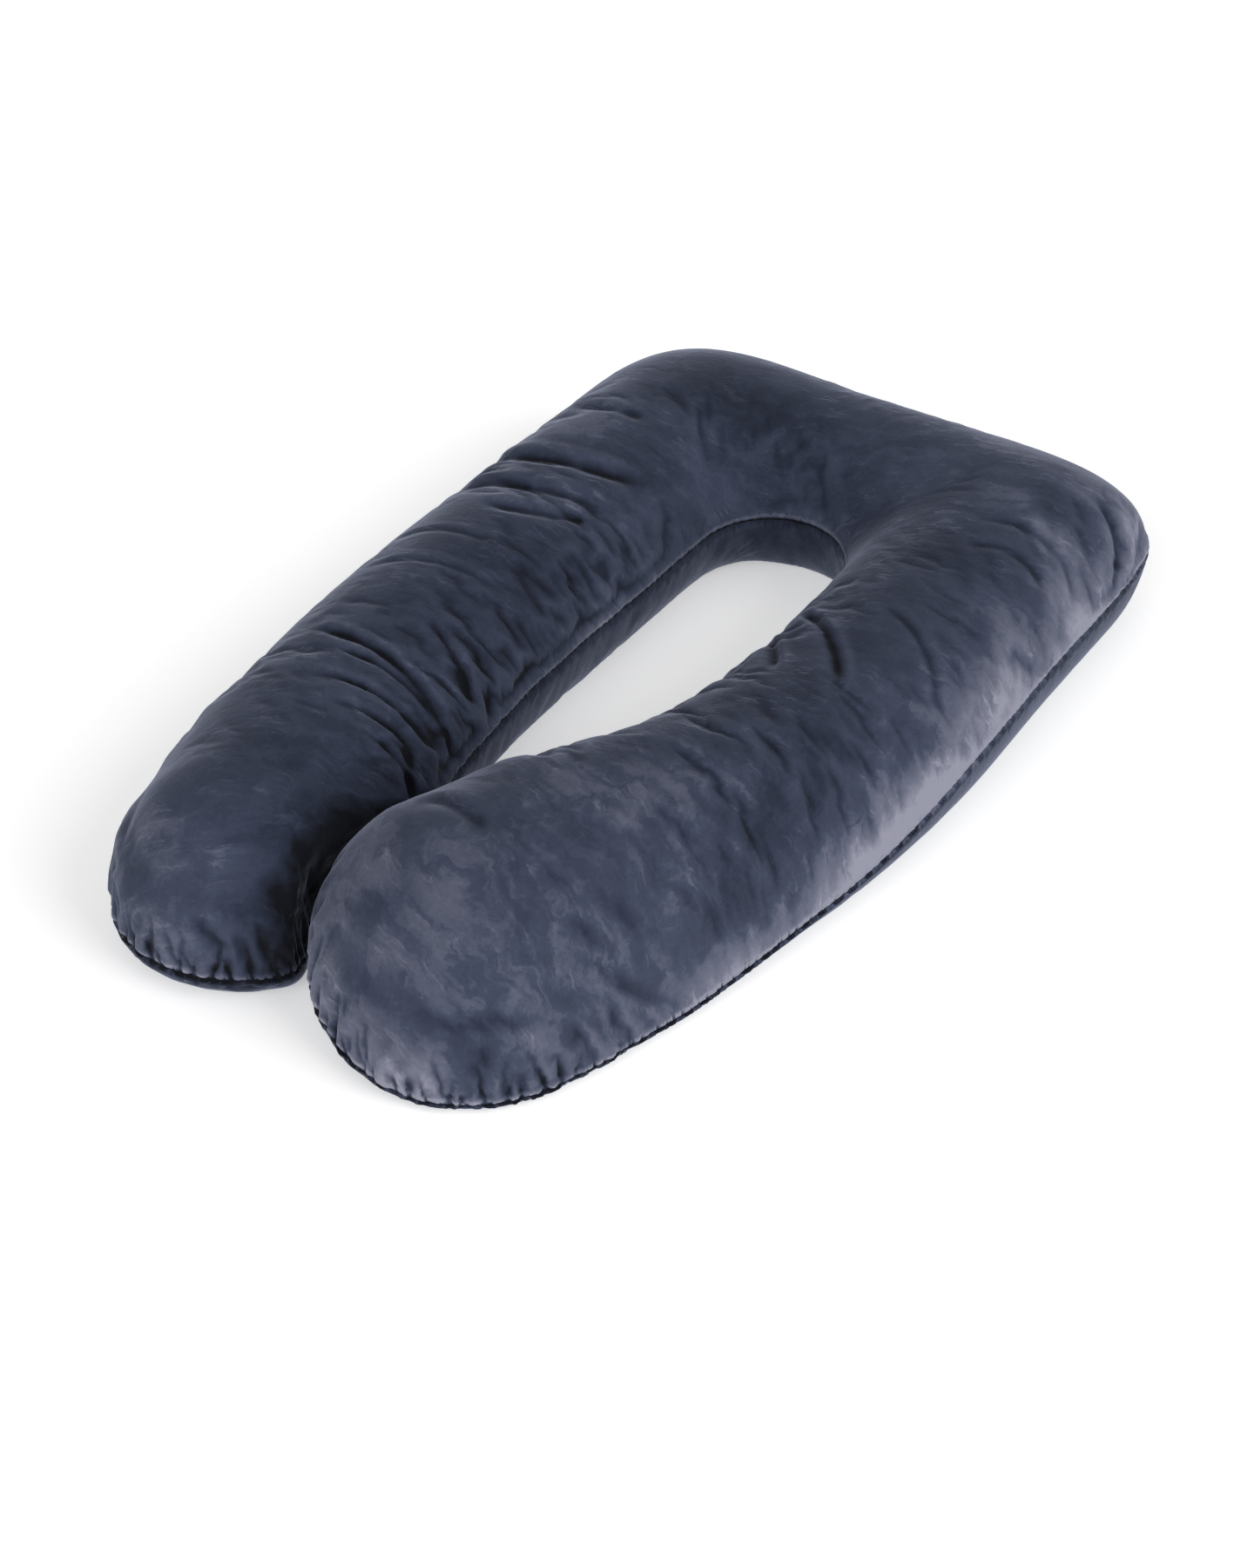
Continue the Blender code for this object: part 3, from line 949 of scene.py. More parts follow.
@dataclass
class Needlework:
    """Carves the seam, the gathers' fine puckers and the creases into the filled cover."""

    seam_depth: float = 0.0036
    seam_width: float = 0.0032
    roll_height: float = 0.0014
    roll_from_seam: float = 0.0065
    roll_width: float = 0.0040
    pucker_pitch: float = 0.011
    pucker_depth: float = 0.0003
    pucker_reach: float = 0.010
    pucker_drift: float = 1.7
    drift_length: float = 0.037
    crease_fade: float = 0.25
    crease_seam_fade: float = 0.045
    crease_ridge: float = 0.35
    ridge_offset: float = 1.7
    creases: tuple[Crease, ...] = (
        Crease(start=(-0.31, 0.34), end=(-0.21, 0.35), bow=0.000, width=0.010, depth=0.004),
        Crease(start=(-0.35, 0.23), end=(-0.16, 0.26), bow=-0.025, width=0.011, depth=0.008),
        Crease(start=(-0.34, 0.14), end=(-0.16, 0.19), bow=-0.010, width=0.011, depth=0.007),
        Crease(start=(-0.27, 0.09), end=(-0.17, 0.17), bow=-0.015, width=0.010, depth=0.006),
        Crease(start=(-0.21, -0.13), end=(-0.12, -0.19), bow=0.006, width=0.0060, depth=0.0050),
        Crease(start=(-0.30, -0.20), end=(-0.10, -0.26), bow=0.017, width=0.0065, depth=0.0070),
        Crease(start=(-0.26, -0.23), end=(-0.13, -0.25), bow=0.012, width=0.0055, depth=0.0050),
        Crease(start=(-0.25, -0.28), end=(-0.12, -0.28), bow=0.012, width=0.0055, depth=0.0050),
        Crease(start=(-0.22, -0.31), end=(-0.12, -0.31), bow=0.008, width=0.0055, depth=0.0045),
        Crease(start=(-0.18, -0.33), end=(-0.10, -0.35), bow=0.006, width=0.0055, depth=0.0045),
        Crease(start=(-0.15, -0.30), end=(-0.10, -0.38), bow=0.004, width=0.0060, depth=0.0050),
        Crease(start=(-0.33, 0.00), end=(-0.20, 0.03), bow=0.008, width=0.006, depth=0.0022),
        Crease(start=(-0.31, -0.07), end=(-0.17, -0.03), bow=0.010, width=0.006, depth=0.0022),
        Crease(start=(0.12, 0.11), end=(0.20, 0.00), bow=0.008, width=0.006, depth=0.006),
        Crease(start=(0.14, 0.16), end=(0.26, 0.02), bow=0.010, width=0.006, depth=0.006),
        Crease(start=(0.22, 0.18), end=(0.33, 0.09), bow=0.012, width=0.006, depth=0.003),
        Crease(start=(0.24, 0.33), end=(0.33, 0.34), bow=0.020, width=0.008, depth=0.0035),
        Crease(start=(0.23, 0.38), end=(0.36, 0.37), bow=0.028, width=0.008, depth=0.0035),
        Crease(start=(0.29, 0.52), end=(0.385, 0.46), bow=0.008, width=0.011, depth=0.009),
        Crease(start=(0.33, 0.24), end=(0.385, 0.27), bow=0.000, width=0.012, depth=0.005),
        Crease(start=(0.16, -0.47), end=(0.24, -0.43), bow=0.005, width=0.011, depth=0.005),
    )

    def depth(self, plan: np.ndarray, from_seam: np.ndarray, along: np.ndarray) -> np.ndarray:
        """How deep to press each vertex in.

        Args:
            plan: Place of each vertex in the flat plan.
            from_seam: Cloth between each vertex and the seam, below 0 on the bottom panel.
            along: Distance of each vertex along the seam.

        Returns:
            The depths.
        """
        away = np.abs(from_seam)
        depth = self.seam_depth * np.exp(-((away / self.seam_width) ** 2))
        depth -= self.roll_height * np.exp(-(((away - self.roll_from_seam) / self.roll_width) ** 2))
        drift = self.pucker_drift * np.sin(along / self.drift_length)
        wave = np.cos(2 * math.pi * along / self.pucker_pitch + drift)
        depth += self.pucker_depth * wave * np.exp(-((away / self.pucker_reach) ** 2))
        return depth + self.crease_depth(*plan.T) * smooth(from_seam / self.crease_seam_fade)

    def crease_depth(self, x: np.ndarray, y: np.ndarray) -> np.ndarray:
        """Depth of all creases together, each a valley with a low ridge beside it.

        Args:
            x: Plan x of each place.
            y: Plan y of each place.

        Returns:
            The depth at each place.
        """
        total = np.zeros_like(x)
        for crease in self.creases:
            start = np.array(crease.start)
            run = np.array(crease.end) - start
            length = math.hypot(*run)
            along = ((x - start[0]) * run[0] + (y - start[1]) * run[1]) / length**2
            aside = ((y - start[1]) * run[0] - (x - start[0]) * run[1]) / length
            inside = np.clip(along, 0.0, 1.0)
            off = aside - 4 * crease.bow * inside * (1 - inside)
            fade = smooth(along / self.crease_fade) * smooth((1 - along) / self.crease_fade)
            valley = np.exp(-((off / crease.width) ** 2))
            ridge = np.exp(-((off / crease.width - self.ridge_offset) ** 2))
            total += crease.depth * fade * (valley - self.crease_ridge * ridge)
        return total


@dataclass
class BodyPillow:
    """The whole pillow as one closed, filled cover."""

    pattern: CoverPattern = field(default_factory=CoverPattern)
    gathers: Gathers = field(default_factory=Gathers)
    filling: Filling = field(default_factory=Filling)
    needlework: Needlework = field(default_factory=Needlework)
    seed: int = 7
    relief_rounds: int = 40
    relief_height: float = 0.0035
    pinch_shade: float = 1.6
    normal_rounds: int = 2
    # Tone patches of the top panel: brushed and crushed nap, with painted light where light falls and painted
    # shade where shade falls
    nap_light_and_shade: tuple[Patch, ...] = (
        # Painted highlight on the near arm's outer side where the light falls, over nap brushed toward the
        # seam
        Patch(x=0.37, y=0.20, along=0.070, across=0.035, turn=1.3, amount=0.58),
        Patch(x=0.38, y=0.06, along=0.090, across=0.030, turn=1.5, amount=0.86),
        Patch(x=0.38, y=-0.06, along=0.060, across=0.024, turn=1.6, amount=0.55),
        Patch(x=0.39, y=-0.22, along=0.090, across=0.018, turn=1.6, amount=0.38),
        Patch(x=0.37, y=0.38, along=0.090, across=0.040, turn=1.5, amount=0.58),
        Patch(x=0.33, y=0.24, along=0.050, across=0.018, turn=2.2, amount=0.25),
        # Dark down the near arm's middle, as painted shade
        Patch(x=0.33, y=0.06, along=0.035, across=0.018, turn=1.2, amount=-0.12),
        Patch(x=0.31, y=-0.09, along=0.110, across=0.040, turn=1.5, amount=-0.22),
        Patch(x=0.35, y=-0.22, along=0.060, across=0.022, turn=1.5, amount=-0.22),
        Patch(x=0.20, y=-0.12, along=0.150, across=0.070, turn=1.4, amount=-0.17),
        Patch(x=0.22, y=-0.28, along=0.140, across=0.090, turn=1.4, amount=0.10),
        # The head end: painted highlights on its edges that catch the light, painted shade on its far side
        Patch(x=0.33, y=0.56, along=0.070, across=0.040, turn=2.6, amount=0.42),
        Patch(x=0.28, y=0.42, along=0.060, across=0.014, turn=2.4, amount=0.20),
        Patch(x=0.26, y=0.47, along=0.060, across=0.028, turn=2.7, amount=-0.10),
        Patch(x=0.18, y=0.55, along=0.090, across=0.035, turn=0.0, amount=0.16),
        Patch(x=0.25, y=0.31, along=0.060, across=0.035, turn=0.4, amount=-0.22),
        Patch(x=-0.14, y=0.47, along=0.150, across=0.080, turn=0.0, amount=-0.22),
        Patch(x=-0.30, y=0.52, along=0.060, across=0.040, turn=0.6, amount=0.50),
        # The far arm is dark with painted shade, darkest at its end's inner side as a painted shadow of the
        # near arm's end, with thin pale sweeps across it
        Patch(x=-0.18, y=-0.10, along=0.360, across=0.080, turn=1.57, amount=-0.20),
        Patch(x=-0.12, y=-0.30, along=0.140, across=0.045, turn=1.57, amount=-0.22),
        Patch(x=-0.27, y=0.14, along=0.060, across=0.012, turn=0.3, amount=0.14),
        Patch(x=-0.28, y=-0.06, along=0.070, across=0.014, turn=0.4, amount=0.08),
        Patch(x=-0.31, y=0.30, along=0.060, across=0.036, turn=0.2, amount=0.38),
        Patch(x=-0.33, y=0.42, along=0.050, across=0.040, turn=1.4, amount=0.26),
        Patch(x=-0.13, y=-0.50, along=0.110, across=0.050, turn=1.45, amount=-0.72),
        Patch(x=-0.13, y=-0.57, along=0.050, across=0.060, turn=1.57, amount=-0.26),
        Patch(x=-0.27, y=-0.55, along=0.090, across=0.060, turn=0.2, amount=0.12),
        # The near arm's end, lighter as painted light where the light falls on it, with a painted highlight
        # along its inner edge and dark blotches
        Patch(x=0.26, y=-0.50, along=0.160, across=0.150, turn=0.0, amount=0.12),
        Patch(x=0.22, y=-0.61, along=0.100, across=0.030, turn=0.1, amount=0.24),
        Patch(x=0.08, y=-0.47, along=0.130, across=0.015, turn=1.5, amount=0.24),
        Patch(x=0.36, y=-0.58, along=0.080, across=0.032, turn=0.8, amount=0.36),
        Patch(x=0.38, y=-0.53, along=0.022, across=0.030, turn=0.3, amount=-0.40),
        Patch(x=0.24, y=-0.54, along=0.030, across=0.014, turn=0.9, amount=-0.20),
        Patch(x=0.29, y=-0.37, along=0.060, across=0.025, turn=0.9, amount=-0.08),
    )
    # Painted shade over the whole bottom panel
    underside_painted_shade: float = -0.14

    def build(self) -> bpy.types.Object:
        """Cuts, fills and finishes the cover.

        Returns:
            The pillow's object.
        """
        cloth = self.pattern.make(np.random.default_rng(self.seed))
        low, high = cloth.filled.min(axis=0), cloth.filled.max(axis=0)
        box_low, box_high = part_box(NODE)
        shift = (np.array(box_low) + np.array(box_high) - low - high) / 2
        cloth.filled[:, :2] += shift[:2]
        cover = self._object(cloth)
        normals = read_vectors(cover.data.vertex_normals, "vector")
        cloth.filled = self.gathers.press(cloth, normals, self.pattern.plan)
        write_numbers(cover.data.vertices, "co", cloth.filled)
        write_numbers(cover.data.vertices, "co", self.filling.fill(cover, cloth))
        self._subdivide(cover)
        self._carve(cover)
        cover.data.shade_smooth()
        return cover

    @staticmethod
    def _object(cloth: Cloth) -> bpy.types.Object:
        """Makes the cover's mesh, with the seam marked to stay sharp and the plan kept on its vertices.

        Args:
            cloth: The cover's vertices and triangles.

        Returns:
            The cover's object.
        """
        mesh = bpy.data.meshes.new(PIECE)
        mesh.from_pydata([tuple(place) for place in cloth.filled], [], cloth.faces)
        plan = mesh.attributes.new("plan", "FLOAT_VECTOR", "POINT")
        write_numbers(plan.data, "vector", np.column_stack([cloth.plan, cloth.from_seam]))
        sharp = mesh.attributes.new("crease_edge", "FLOAT", "EDGE")
        write_numbers(sharp.data, "value", (vertex_pairs(mesh) < cloth.seam_count).all(axis=1))
        mesh.update()
        cover = bpy.data.objects.new(PIECE, mesh)
        bpy.context.scene.collection.objects.link(cover)
        return cover

    @staticmethod
    def _subdivide(cover: bpy.types.Object) -> None:
        """Gives the cover one subdivision.

        Args:
            cover: The filled cover.
        """
        for other in bpy.context.selected_objects:
            other.select_set(False)
        bpy.context.view_layer.objects.active = cover
        modifier = cover.modifiers.new("Subdivision", "SUBSURF")
        modifier.levels = 1
        modifier.render_levels = 1
        bpy.ops.object.modifier_apply(modifier=modifier.name)

    def _carve(self, cover: bpy.types.Object) -> None:
        """Presses the seam, the pinches and the creases in, and keeps relief and nap for the velvet's tone,
        both carrying painted light and shade.

        Args:
            cover: The filled and subdivided cover.
        """
        mesh = cover.data
        places = read_vectors(mesh.vertices, "co")
        plan = read_vectors(mesh.attributes["plan"].data, "vector")
        plan, from_seam = plan[:, :2], plan[:, 2]
        edges = vertex_pairs(mesh)
        none_held = np.zeros(len(places), bool)
        normals = read_vectors(mesh.vertex_normals, "vector")
        normals = neighbour_mean(normals, edges, none_held, self.normal_rounds)
        near_seam = np.abs(from_seam) < self.gathers.first_reach
        along = self.pattern.plan.along_seam(plan, near_seam)
        at_end = self.pattern.at_end(self.pattern.plan.rays(plan))
        pinch = near_seam * np.maximum(at_end, self.gathers.along_sides)
        pinch = pinch * self.gathers.pinch(along, from_seam, self.gathers.width, self.gathers.reach)
        depth = self.needlework.depth(plan, from_seam, along) + self.gathers.depth * pinch
        places -= normals * depth[:, None]
        places[:, 2] = np.maximum(places[:, 2], 0.0)
        write_numbers(mesh.vertices, "co", places)
        mesh.update()

        broad = neighbour_mean(places, edges, none_held, self.relief_rounds)
        above = ((places - broad) * read_vectors(mesh.vertex_normals, "vector")).sum(axis=1)
        # The relief gives painted shade in hollows and in the gathers' pinches, and a painted highlight on
        # raised places
        relief = np.clip(above / self.relief_height - self.pinch_shade * pinch, -1, 1)
        # Nap tone, with painted shade over the bottom panel and painted light and shade in the top panel's
        # patches
        nap = np.where(from_seam < 0, self.underside_painted_shade, patch_sum(self.nap_light_and_shade, *plan.T))
        for name, values in (("relief", relief), ("nap", nap)):
            write_numbers(mesh.attributes.new(name, "FLOAT", "POINT").data, "value", values)


def set_sockets(node: bpy.types.Node, values: dict[str, object]) -> None:
    """Sets a node's own sockets by name."""
    for name, value in values.items():
        node.inputs[name].default_value = value


class Grain(NamedTuple):
    """Noise in the pile, the part of its range that shows, and how much it counts in tone and height."""

    scale: float
    detail: float = 2.0
    rough: float = 0.5
    low: float = 0.0
    high: float = 1.0
    tone: float = 0.0
    height: float = 0.0


class Stroke(NamedTuple):
    """Which way the marks of a pattern run, and their length and width in metres."""

    turn: float
    along: float
    across: float


class Wiring:
    """Adds nodes to a material and joins them."""

    def __init__(self, material: bpy.types.Material) -> None:
        """Starts on a material's own nodes."""
        self.tree = material.node_tree

    def node(self, kind: str, **settings: object) -> bpy.types.Node:
        """Adds a node.

        Args:
            kind: Blender's name for it.
            settings: Its properties.

        Returns:
            The node.
        """
        node = self.tree.nodes.new(kind)
        for name, value in settings.items():
            setattr(node, name, value)
        return node

    def feed(self, socket: bpy.types.NodeSocket, value: object) -> None:
        """Joins a socket to another one, or gives it a value.

        Args:
            socket: The socket to feed.
            value: Another socket or a value.
        """
        if isinstance(value, bpy.types.NodeSocket):
            self.tree.links.new(value, socket)
        else:
            socket.default_value = value

    def attribute(self, name: str, output: str) -> bpy.types.NodeSocket:
        """Reads a value that the cover's vertices carry."""
        return self.node("ShaderNodeAttribute", attribute_name=name).outputs[output]

    def noise(self, place: bpy.types.NodeSocket, grain: Grain, output: str = "Fac") -> bpy.types.NodeSocket:
        """Even noise.

        Args:
            place: Where to read it.
            grain: Its scale and its finer layers.
            output: Fac or Color.

        Returns:
            The noise.
        """
        noise = self.node("ShaderNodeTexNoise")
        self.feed(noise.inputs["Vector"], place)
        set_sockets(noise, {"Scale": grain.scale, "Detail": grain.detail, "Roughness": grain.rough})
        return noise.outputs[output]

    def grain(self, place: bpy.types.NodeSocket, grain: Grain, least: float = 0.0) -> bpy.types.NodeSocket:
        """Noise with the part of its range that shows spread out from least to 1."""
        return self.spread(self.noise(place, grain), grain.low, grain.high, least)

    def stretch(self, place: bpy.types.NodeSocket, stroke: Stroke) -> bpy.types.NodeSocket:
        """Turns a pattern and gives its marks their length and width.

        Args:
            place: Where to read it.
            stroke: The marks' direction and size.

        Returns:
            The place to read the pattern at.
        """
        mapping = self.node("ShaderNodeMapping", vector_type="TEXTURE")
        self.feed(mapping.inputs["Vector"], place)
        scale = (stroke.along, stroke.across, stroke.along)
        set_sockets(mapping, {"Rotation": (0.0, 0.0, stroke.turn), "Scale": scale})
        return mapping.outputs["Vector"]

    def cells(self, place: bpy.types.NodeSocket) -> bpy.types.NodeSocket:
        """A random value for each cell of a Voronoi pattern.

        Args:
            place: Where to read it.

        Returns:
            The value.
        """
        voronoi = self.node("ShaderNodeTexVoronoi", feature="F1")
        self.feed(voronoi.inputs["Vector"], place)
        set_sockets(voronoi, {"Scale": 1.0})
        split = self.node("ShaderNodeSeparateColor")
        self.feed(split.inputs["Color"], voronoi.outputs["Color"])
        return split.outputs["Red"]

    def maths(self, operation: str, first: object, second: object = 0.0) -> bpy.types.NodeSocket:
        """Works out one sum.

        Args:
            operation: Blender's name for it.
            first: A socket or a number.
            second: A socket or a number.

        Returns:
            The result.
        """
        maths = self.node("ShaderNodeMath", operation=operation)
        self.feed(maths.inputs[0], first)
        self.feed(maths.inputs[1], second)
        return maths.outputs["Value"]

    def move(self, place: bpy.types.NodeSocket, by: bpy.types.NodeSocket, far: float) -> bpy.types.NodeSocket:
        """Moves a place by a colour, up to half of far each way.

        Args:
            place: The place.
            by: The colour, whose middle grey moves nothing.
            far: How far black and white lie apart, in metres.

        Returns:
            The moved place.
        """
        centred = self.node("ShaderNodeVectorMath", operation="SUBTRACT")
        self.feed(centred.inputs[0], by)
        centred.inputs[1].default_value = (0.5, 0.5, 0.5)
        added = self.node("ShaderNodeVectorMath", operation="MULTIPLY_ADD")
        self.feed(added.inputs[0], centred.outputs["Vector"])
        added.inputs[1].default_value = (far, far, far)
        self.feed(added.inputs[2], place)
        return added.outputs["Vector"]

    def spread(self, value: bpy.types.NodeSocket, low: float, high: float, to_low: float = 0.0,
               to_high: float = 1.0) -> bpy.types.NodeSocket:
        """Eases a value's range to new ends.

        Args:
            value: The value.
            low: Where its range starts.
            high: Where its range ends.
            to_low: What low becomes.
            to_high: What high becomes.

        Returns:
            The eased value.
        """
        spread = self.node("ShaderNodeMapRange", interpolation_type="SMOOTHSTEP")
        self.feed(spread.inputs["Value"], value)
        set_sockets(spread, {"From Min": low, "From Max": high, "To Min": to_low, "To Max": to_high})
        return spread.outputs["Result"]

    def total(self, *parts: tuple[bpy.types.NodeSocket, float]) -> bpy.types.NodeSocket:
        """Adds several values, each with its weight."""
        total: object = 0.0
        for value, weight in parts:
            total = self.maths("ADD", total, self.maths("MULTIPLY", value, weight))
        return total


@dataclass(frozen=True)
class Velvet:
    """Short-pile slate blue velvet with a brushed and crushed nap, and painted shade and highlights in its
    colour.
    """

    name: str = "slate_blue_velvet"
    tones: tuple[tuple[float, tuple[float, float, float]], ...] = (
        (0.00, (0.0030, 0.0034, 0.0062)),
        (0.30, (0.0180, 0.0235, 0.0430)),
        (0.55, (0.0430, 0.0520, 0.0860)),
        (0.80, (0.1090, 0.1170, 0.1620)),
        (1.00, (0.2260, 0.2270, 0.2850)),
    )
    roughness: float = 0.86
    sheen: float = 0.40
    sheen_roughness: float = 0.35
    sheen_tint: tuple[float, float, float] = (0.72, 0.78, 1.0)
    specular: float = 0.15
    bump_strength: float = 0.5
    bump_distance: float = 0.0020

    # The pattern wanders, further where the pile is brushed loosely
    wander: Grain = Grain(scale=14.0, detail=5.0, rough=0.62)
    loose_wander: float = 0.070
    firm_wander: float = 0.036

    # Broad sweeps of the hand, short strokes, crushed marks in patches, and light streaks in clusters
    sweeps: Grain = Grain(scale=7.0, low=0.36, high=0.64, tone=0.12)
    strokes: Grain = Grain(scale=1.0, detail=4.0, rough=0.62, low=0.36, high=0.64, tone=0.13, height=0.30)
    stroke_size: Stroke = Stroke(turn=0.35, along=0.110, across=0.022)
    wide_mark: Stroke = Stroke(turn=2.10, along=0.075, across=0.030)
    small_mark: Stroke = Stroke(turn=2.30, along=0.042, across=0.016)
    marks_tone: float = 0.14
    marks_height: float = 0.25
    crushed: Grain = Grain(scale=5.0, low=0.40, high=0.60)
    least_crushed: float = 0.25
    streaks: Grain = Grain(scale=1.0, detail=3.0, rough=0.6, low=0.52, high=0.66, tone=0.14, height=0.40)
    streak_size: Stroke = Stroke(turn=0.20, along=0.042, across=0.0065)
    clusters: Grain = Grain(scale=18.0, detail=3.0, low=0.47, high=0.62)
    mottle: Grain = Grain(scale=170.0, detail=3.0, rough=0.65, tone=0.14, height=0.45)
    fibre: Grain = Grain(scale=1100.0, detail=1.0, height=0.25)

    # How the tone is put together
    middle_tone: float = 0.31
    nap_light_and_shade_tone: float = 0.85
    brushed_tone: float = 0.82
    crisp_range: tuple[float, float] = (0.42, 0.60)
    crisp_tone: float = 0.06
    # Painted shade in hollows and painted highlight on raised places
    hollow_shade_tone: float = 0.46
    ridge_highlight_tone: float = 0.24

    # Bands along the seam, by the cloth's distance from it: a pale painted highlight on the rolled rim, a
    # dark painted shadow in the seam's groove, painted shade on the underside
    rim_highlight_start: tuple[float, float] = (0.0012, 0.0032)
    rim_highlight_end: tuple[float, float] = (0.0055, 0.0110)
    rim_highlight_tone: float = 0.24
    seam_shadow_range: tuple[float, float] = (0.0006, 0.0022)
    seam_shadow_tone: float = -0.24
    underside_shade_range: tuple[float, float] = (-0.0040, 0.0)
    underside_shade_tone: float = -0.11

    def material(self) -> bpy.types.Material:
        """Builds the velvet.

        Returns:
            The material.
        """
        material = bpy.data.materials.new(self.name)
        material.use_nodes = True
        wiring = Wiring(material)
        shader = material.node_tree.nodes["Principled BSDF"]
        set_sockets(shader, {
            "Roughness": self.roughness,
            "Sheen Weight": self.sheen,
            "Sheen Roughness": self.sheen_roughness,
            "Sheen Tint": (*self.sheen_tint, 1.0),
            "Specular IOR Level": self.specular,
        })
        tone, height = self._nap(wiring)
        wiring.feed(shader.inputs["Base Color"], self._colour(wiring, tone))
        bump = wiring.node("ShaderNodeBump")
        set_sockets(bump, {"Strength": self.bump_strength, "Distance": self.bump_distance})
        wiring.feed(bump.inputs["Height"], height)
        wiring.feed(shader.inputs["Normal"], bump.outputs["Normal"])
        return material

    def _nap(self, wiring: Wiring) -> tuple[bpy.types.NodeSocket, bpy.types.NodeSocket]:
        """How light the pile lies, with painted light and shade in it, and how high it stands.

        Args:
            wiring: The material's nodes.

        Returns:
            Tone from about 0 to 1, and height for the bump.
        """
        place = wiring.node("ShaderNodeTexCoord").outputs["Object"]
        plan = wiring.attribute("plan", "Vector")
        wander = wiring.noise(plan, self.wander, "Color")
        loose_plan = wiring.move(plan, wander, self.loose_wander)
        firm_plan = wiring.move(plan, wander, self.firm_wander)

        sweeps = wiring.grain(loose_plan, self.sweeps)
        strokes = wiring.grain(wiring.stretch(loose_plan, self.stroke_size), self.strokes)
        wide_marks = wiring.cells(wiring.stretch(firm_plan, self.wide_mark))
        small_marks = wiring.cells(wiring.stretch(firm_plan, self.small_mark))
        crushed = wiring.grain(plan, self.crushed, self.least_crushed)
        marks = wiring.total((wide_marks, 0.5), (small_marks, 0.5))
        marks = wiring.maths("MULTIPLY", wiring.maths("SUBTRACT", marks, 0.5), crushed)
        streaks = wiring.grain(wiring.stretch(firm_plan, self.streak_size), self.streaks)
        streaks = wiring.maths("MULTIPLY", streaks, wiring.grain(loose_plan, self.clusters))
        mottle = wiring.noise(place, self.mottle)
        fibre = wiring.noise(place, self.fibre)

        # Painted shade in hollows and painted highlight on raised places, from the relief
        relief = wiring.attribute("relief", "Fac")
        hollow_shade = wiring.maths("MINIMUM", relief, 0.0)
        ridge_highlight = wiring.maths("MAXIMUM", relief, 0.0)
        # The nap attribute brings in the nap patches with their painted light and shade
        brushed = wiring.total(
            (sweeps, self.sweeps.tone), (strokes, self.strokes.tone), (marks, self.marks_tone),
            (wiring.attribute("nap", "Fac"), self.nap_light_and_shade_tone),
        )
        brushed = wiring.maths("ADD", brushed, self.middle_tone)
        tone = wiring.total(
            (brushed, self.brushed_tone), (wiring.spread(brushed, *self.crisp_range), self.crisp_tone),
            (mottle, self.mottle.tone), (streaks, self.streaks.tone),
            (hollow_shade, self.hollow_shade_tone), (ridge_highlight, self.ridge_highlight_tone),
        )
        height = wiring.total(
            (strokes, self.strokes.height), (marks, self.marks_height), (streaks, self.streaks.height),
            (fibre, self.fibre.height), (mottle, self.mottle.height),
        )
        return tone, height

    def _colour(self, wiring: Wiring, tone: bpy.types.NodeSocket) -> bpy.types.NodeSocket:
        """Colour of the pile, dark with a painted shadow in the seam, pale with a painted highlight on its
        rolled edge and dark with painted shade underneath.

        Args:
            wiring: The material's nodes.
            tone: How light the pile lies.

        Returns:
            The colour.
        """
        split = wiring.node("ShaderNodeSeparateXYZ")
        wiring.feed(split.inputs["Vector"], wiring.attribute("plan", "Vector"))
        from_seam = split.outputs["Z"]
        # Painted highlight on the rolled rim just above the seam
        past_seam = wiring.spread(from_seam, *self.rim_highlight_start)
        rim = wiring.maths("MULTIPLY", past_seam, wiring.spread(from_seam, *self.rim_highlight_end, 1.0, 0.0))
        # Painted shadow in the seam's groove
        seam_shadow = wiring.spread(wiring.maths("ABSOLUTE", from_seam), *self.seam_shadow_range, 1.0, 0.0)
        # Painted shade on the bottom panel below the seam
        under = wiring.spread(from_seam, *self.underside_shade_range, 1.0, 0.0)
        ramp = wiring.node("ShaderNodeValToRGB")
        ramp.color_ramp.interpolation = "LINEAR"
        elements = ramp.color_ramp.elements
        for element, (position, colour) in zip(elements, (self.tones[0], self.tones[-1])):
            element.position, element.color = position, (*colour, 1.0)
        for position, colour in self.tones[1:-1]:
            elements.new(position).color = (*colour, 1.0)
        shaded = wiring.total(
            (tone, 1.0), (rim, self.rim_highlight_tone), (seam_shadow, self.seam_shadow_tone), (under, self.underside_shade_tone),
        )
        wiring.feed(ramp.inputs["Fac"], shaded)
        return ramp.outputs["Color"]


class Light(NamedTuple):
    """A wide soft light: where it stands round the pillow, how high, and how wide it looks, in degrees."""

    name: str
    azimuth: float
    elevation: float
    spread: float
    strength: float


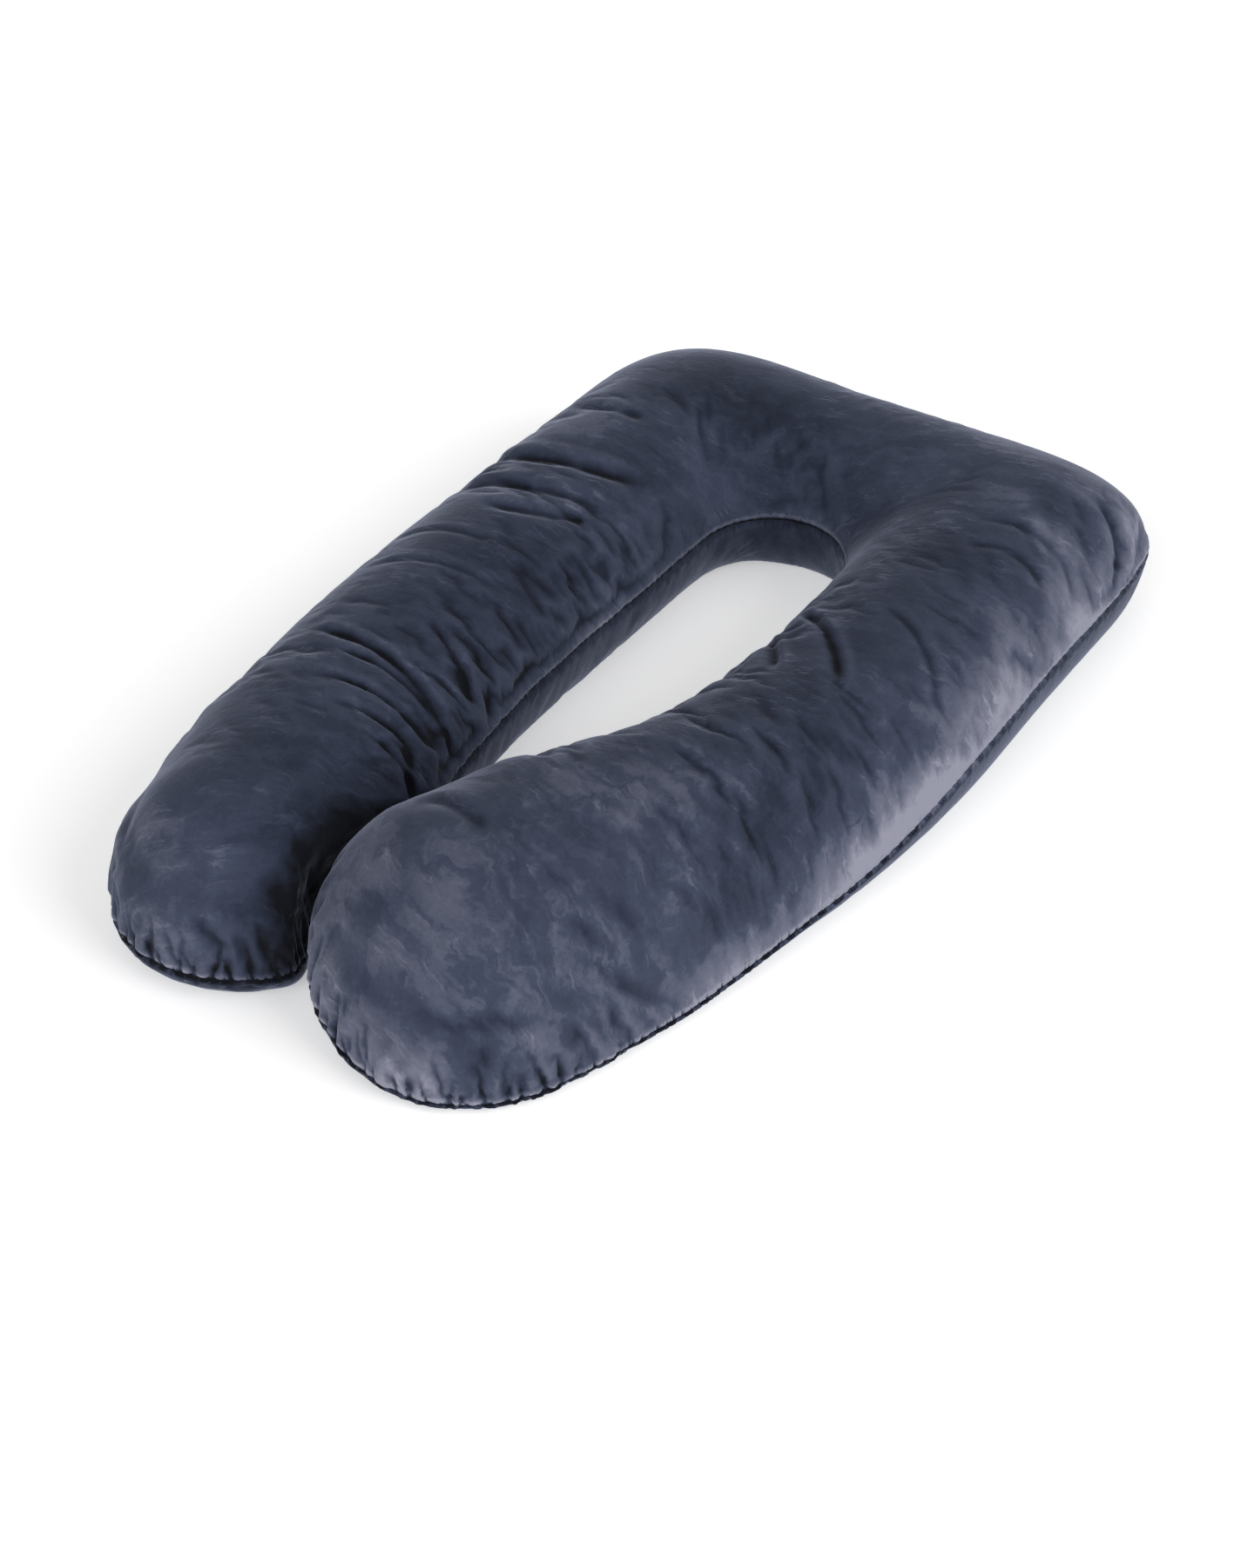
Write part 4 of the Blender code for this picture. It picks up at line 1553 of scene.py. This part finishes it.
@dataclass(frozen=True)
class Studio:
    """The pale floor, the soft light and the camera."""

    white: tuple[float, float, float, float] = (1.0, 1.0, 1.0, 1.0)
    floor_size: float = 16.0
    floor_colour: tuple[float, float, float] = (0.90, 0.90, 0.90)
    floor_roughness: float = 0.9
    floor_specular: float = 0.1
    floor_glow: float = 0.36
    world_strength: float = 0.35
    lights: tuple[Light, ...] = (
        Light(name="key_light", azimuth=95, elevation=30, spread=45, strength=2.0),
        Light(name="front_light", azimuth=0, elevation=26, spread=50, strength=1.5),
    )
    azimuth: float = 33.7354
    elevation: float = 40.5659
    distance: float = 3.0497
    aim: tuple[float, float, float] = (0.0894, -0.1629, 0.100)
    focal_mm: float = 63.1288
    sensor_mm: float = 36.0

    def build(self) -> None:
        """Adds the floor, the world, the lights and the camera."""
        self._floor()
        self._world()
        for light in self.lights:
            self._light(light)
        self._camera()

    def _floor(self) -> None:
        """Adds the pale floor."""
        bpy.ops.mesh.primitive_plane_add(size=self.floor_size, location=(0, 0, 0))
        floor = bpy.context.active_object
        floor.name = "pale_floor"
        material = bpy.data.materials.new("pale_floor")
        material.use_nodes = True
        set_sockets(material.node_tree.nodes["Principled BSDF"], {
            "Base Color": (*self.floor_colour, 1.0),
            "Roughness": self.floor_roughness,
            "Specular IOR Level": self.floor_specular,
            "Emission Color": self.white,
            "Emission Strength": self.floor_glow,
        })
        floor.data.materials.append(material)

    def _world(self) -> None:
        """Adds an even pale sky."""
        world = bpy.data.worlds.new("soft_sky")
        world.use_nodes = True
        background = world.node_tree.nodes["Background"]
        set_sockets(background, {"Color": self.white, "Strength": self.world_strength})
        bpy.context.scene.world = world

    def _stand(self, name: str, data: bpy.types.ID, azimuth: float, elevation: float) -> bpy.types.Object:
        """Stands a light or the camera round the pillow, turned to it.

        Args:
            name: The object's name.
            data: The light or the camera.
            azimuth: Degrees round the pillow, 0 at -Y and 90 at +X.
            elevation: Degrees above the floor.

        Returns:
            The object.
        """
        turn, rise = math.radians(azimuth), math.radians(elevation)
        toward = (math.sin(turn) * math.cos(rise), -math.cos(turn) * math.cos(rise), math.sin(rise))
        holder = bpy.data.objects.new(name, data)
        holder.location = Vector(self.aim) + Vector(toward) * self.distance
        holder.rotation_euler = Vector(toward).to_track_quat("Z", "Y").to_euler()
        bpy.context.scene.collection.objects.link(holder)
        return holder

    def _light(self, light: Light) -> None:
        """Adds one light that shines evenly from one side.

        Args:
            light: Where it stands and how strong it is.
        """
        sun = bpy.data.lights.new(light.name, "SUN")
        sun.angle = math.radians(light.spread)
        sun.energy = light.strength
        self._stand(light.name, sun, light.azimuth, light.elevation)

    def _camera(self) -> None:
        """Adds the camera at the photo's angle."""
        camera = bpy.data.cameras.new("camera")
        camera.lens = self.focal_mm
        camera.sensor_width = self.sensor_mm
        bpy.context.scene.camera = self._stand("camera", camera, self.azimuth, self.elevation)


def main() -> None:
    """Loads the frame, builds the pillow and the studio, and notes the sizes."""
    logging.basicConfig(level=logging.INFO, format="%(message)s")
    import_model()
    pillow = BodyPillow().build()
    pillow.data.materials.append(Velvet().material())
    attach(pillow, "root")
    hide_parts(NODE)
    LOG.info("%s: %d faces", pillow.name, len(pillow.data.polygons))
    Studio().build()
    bpy.context.scene.view_settings.view_transform = "Standard"


if __name__ == "__main__":
    main()
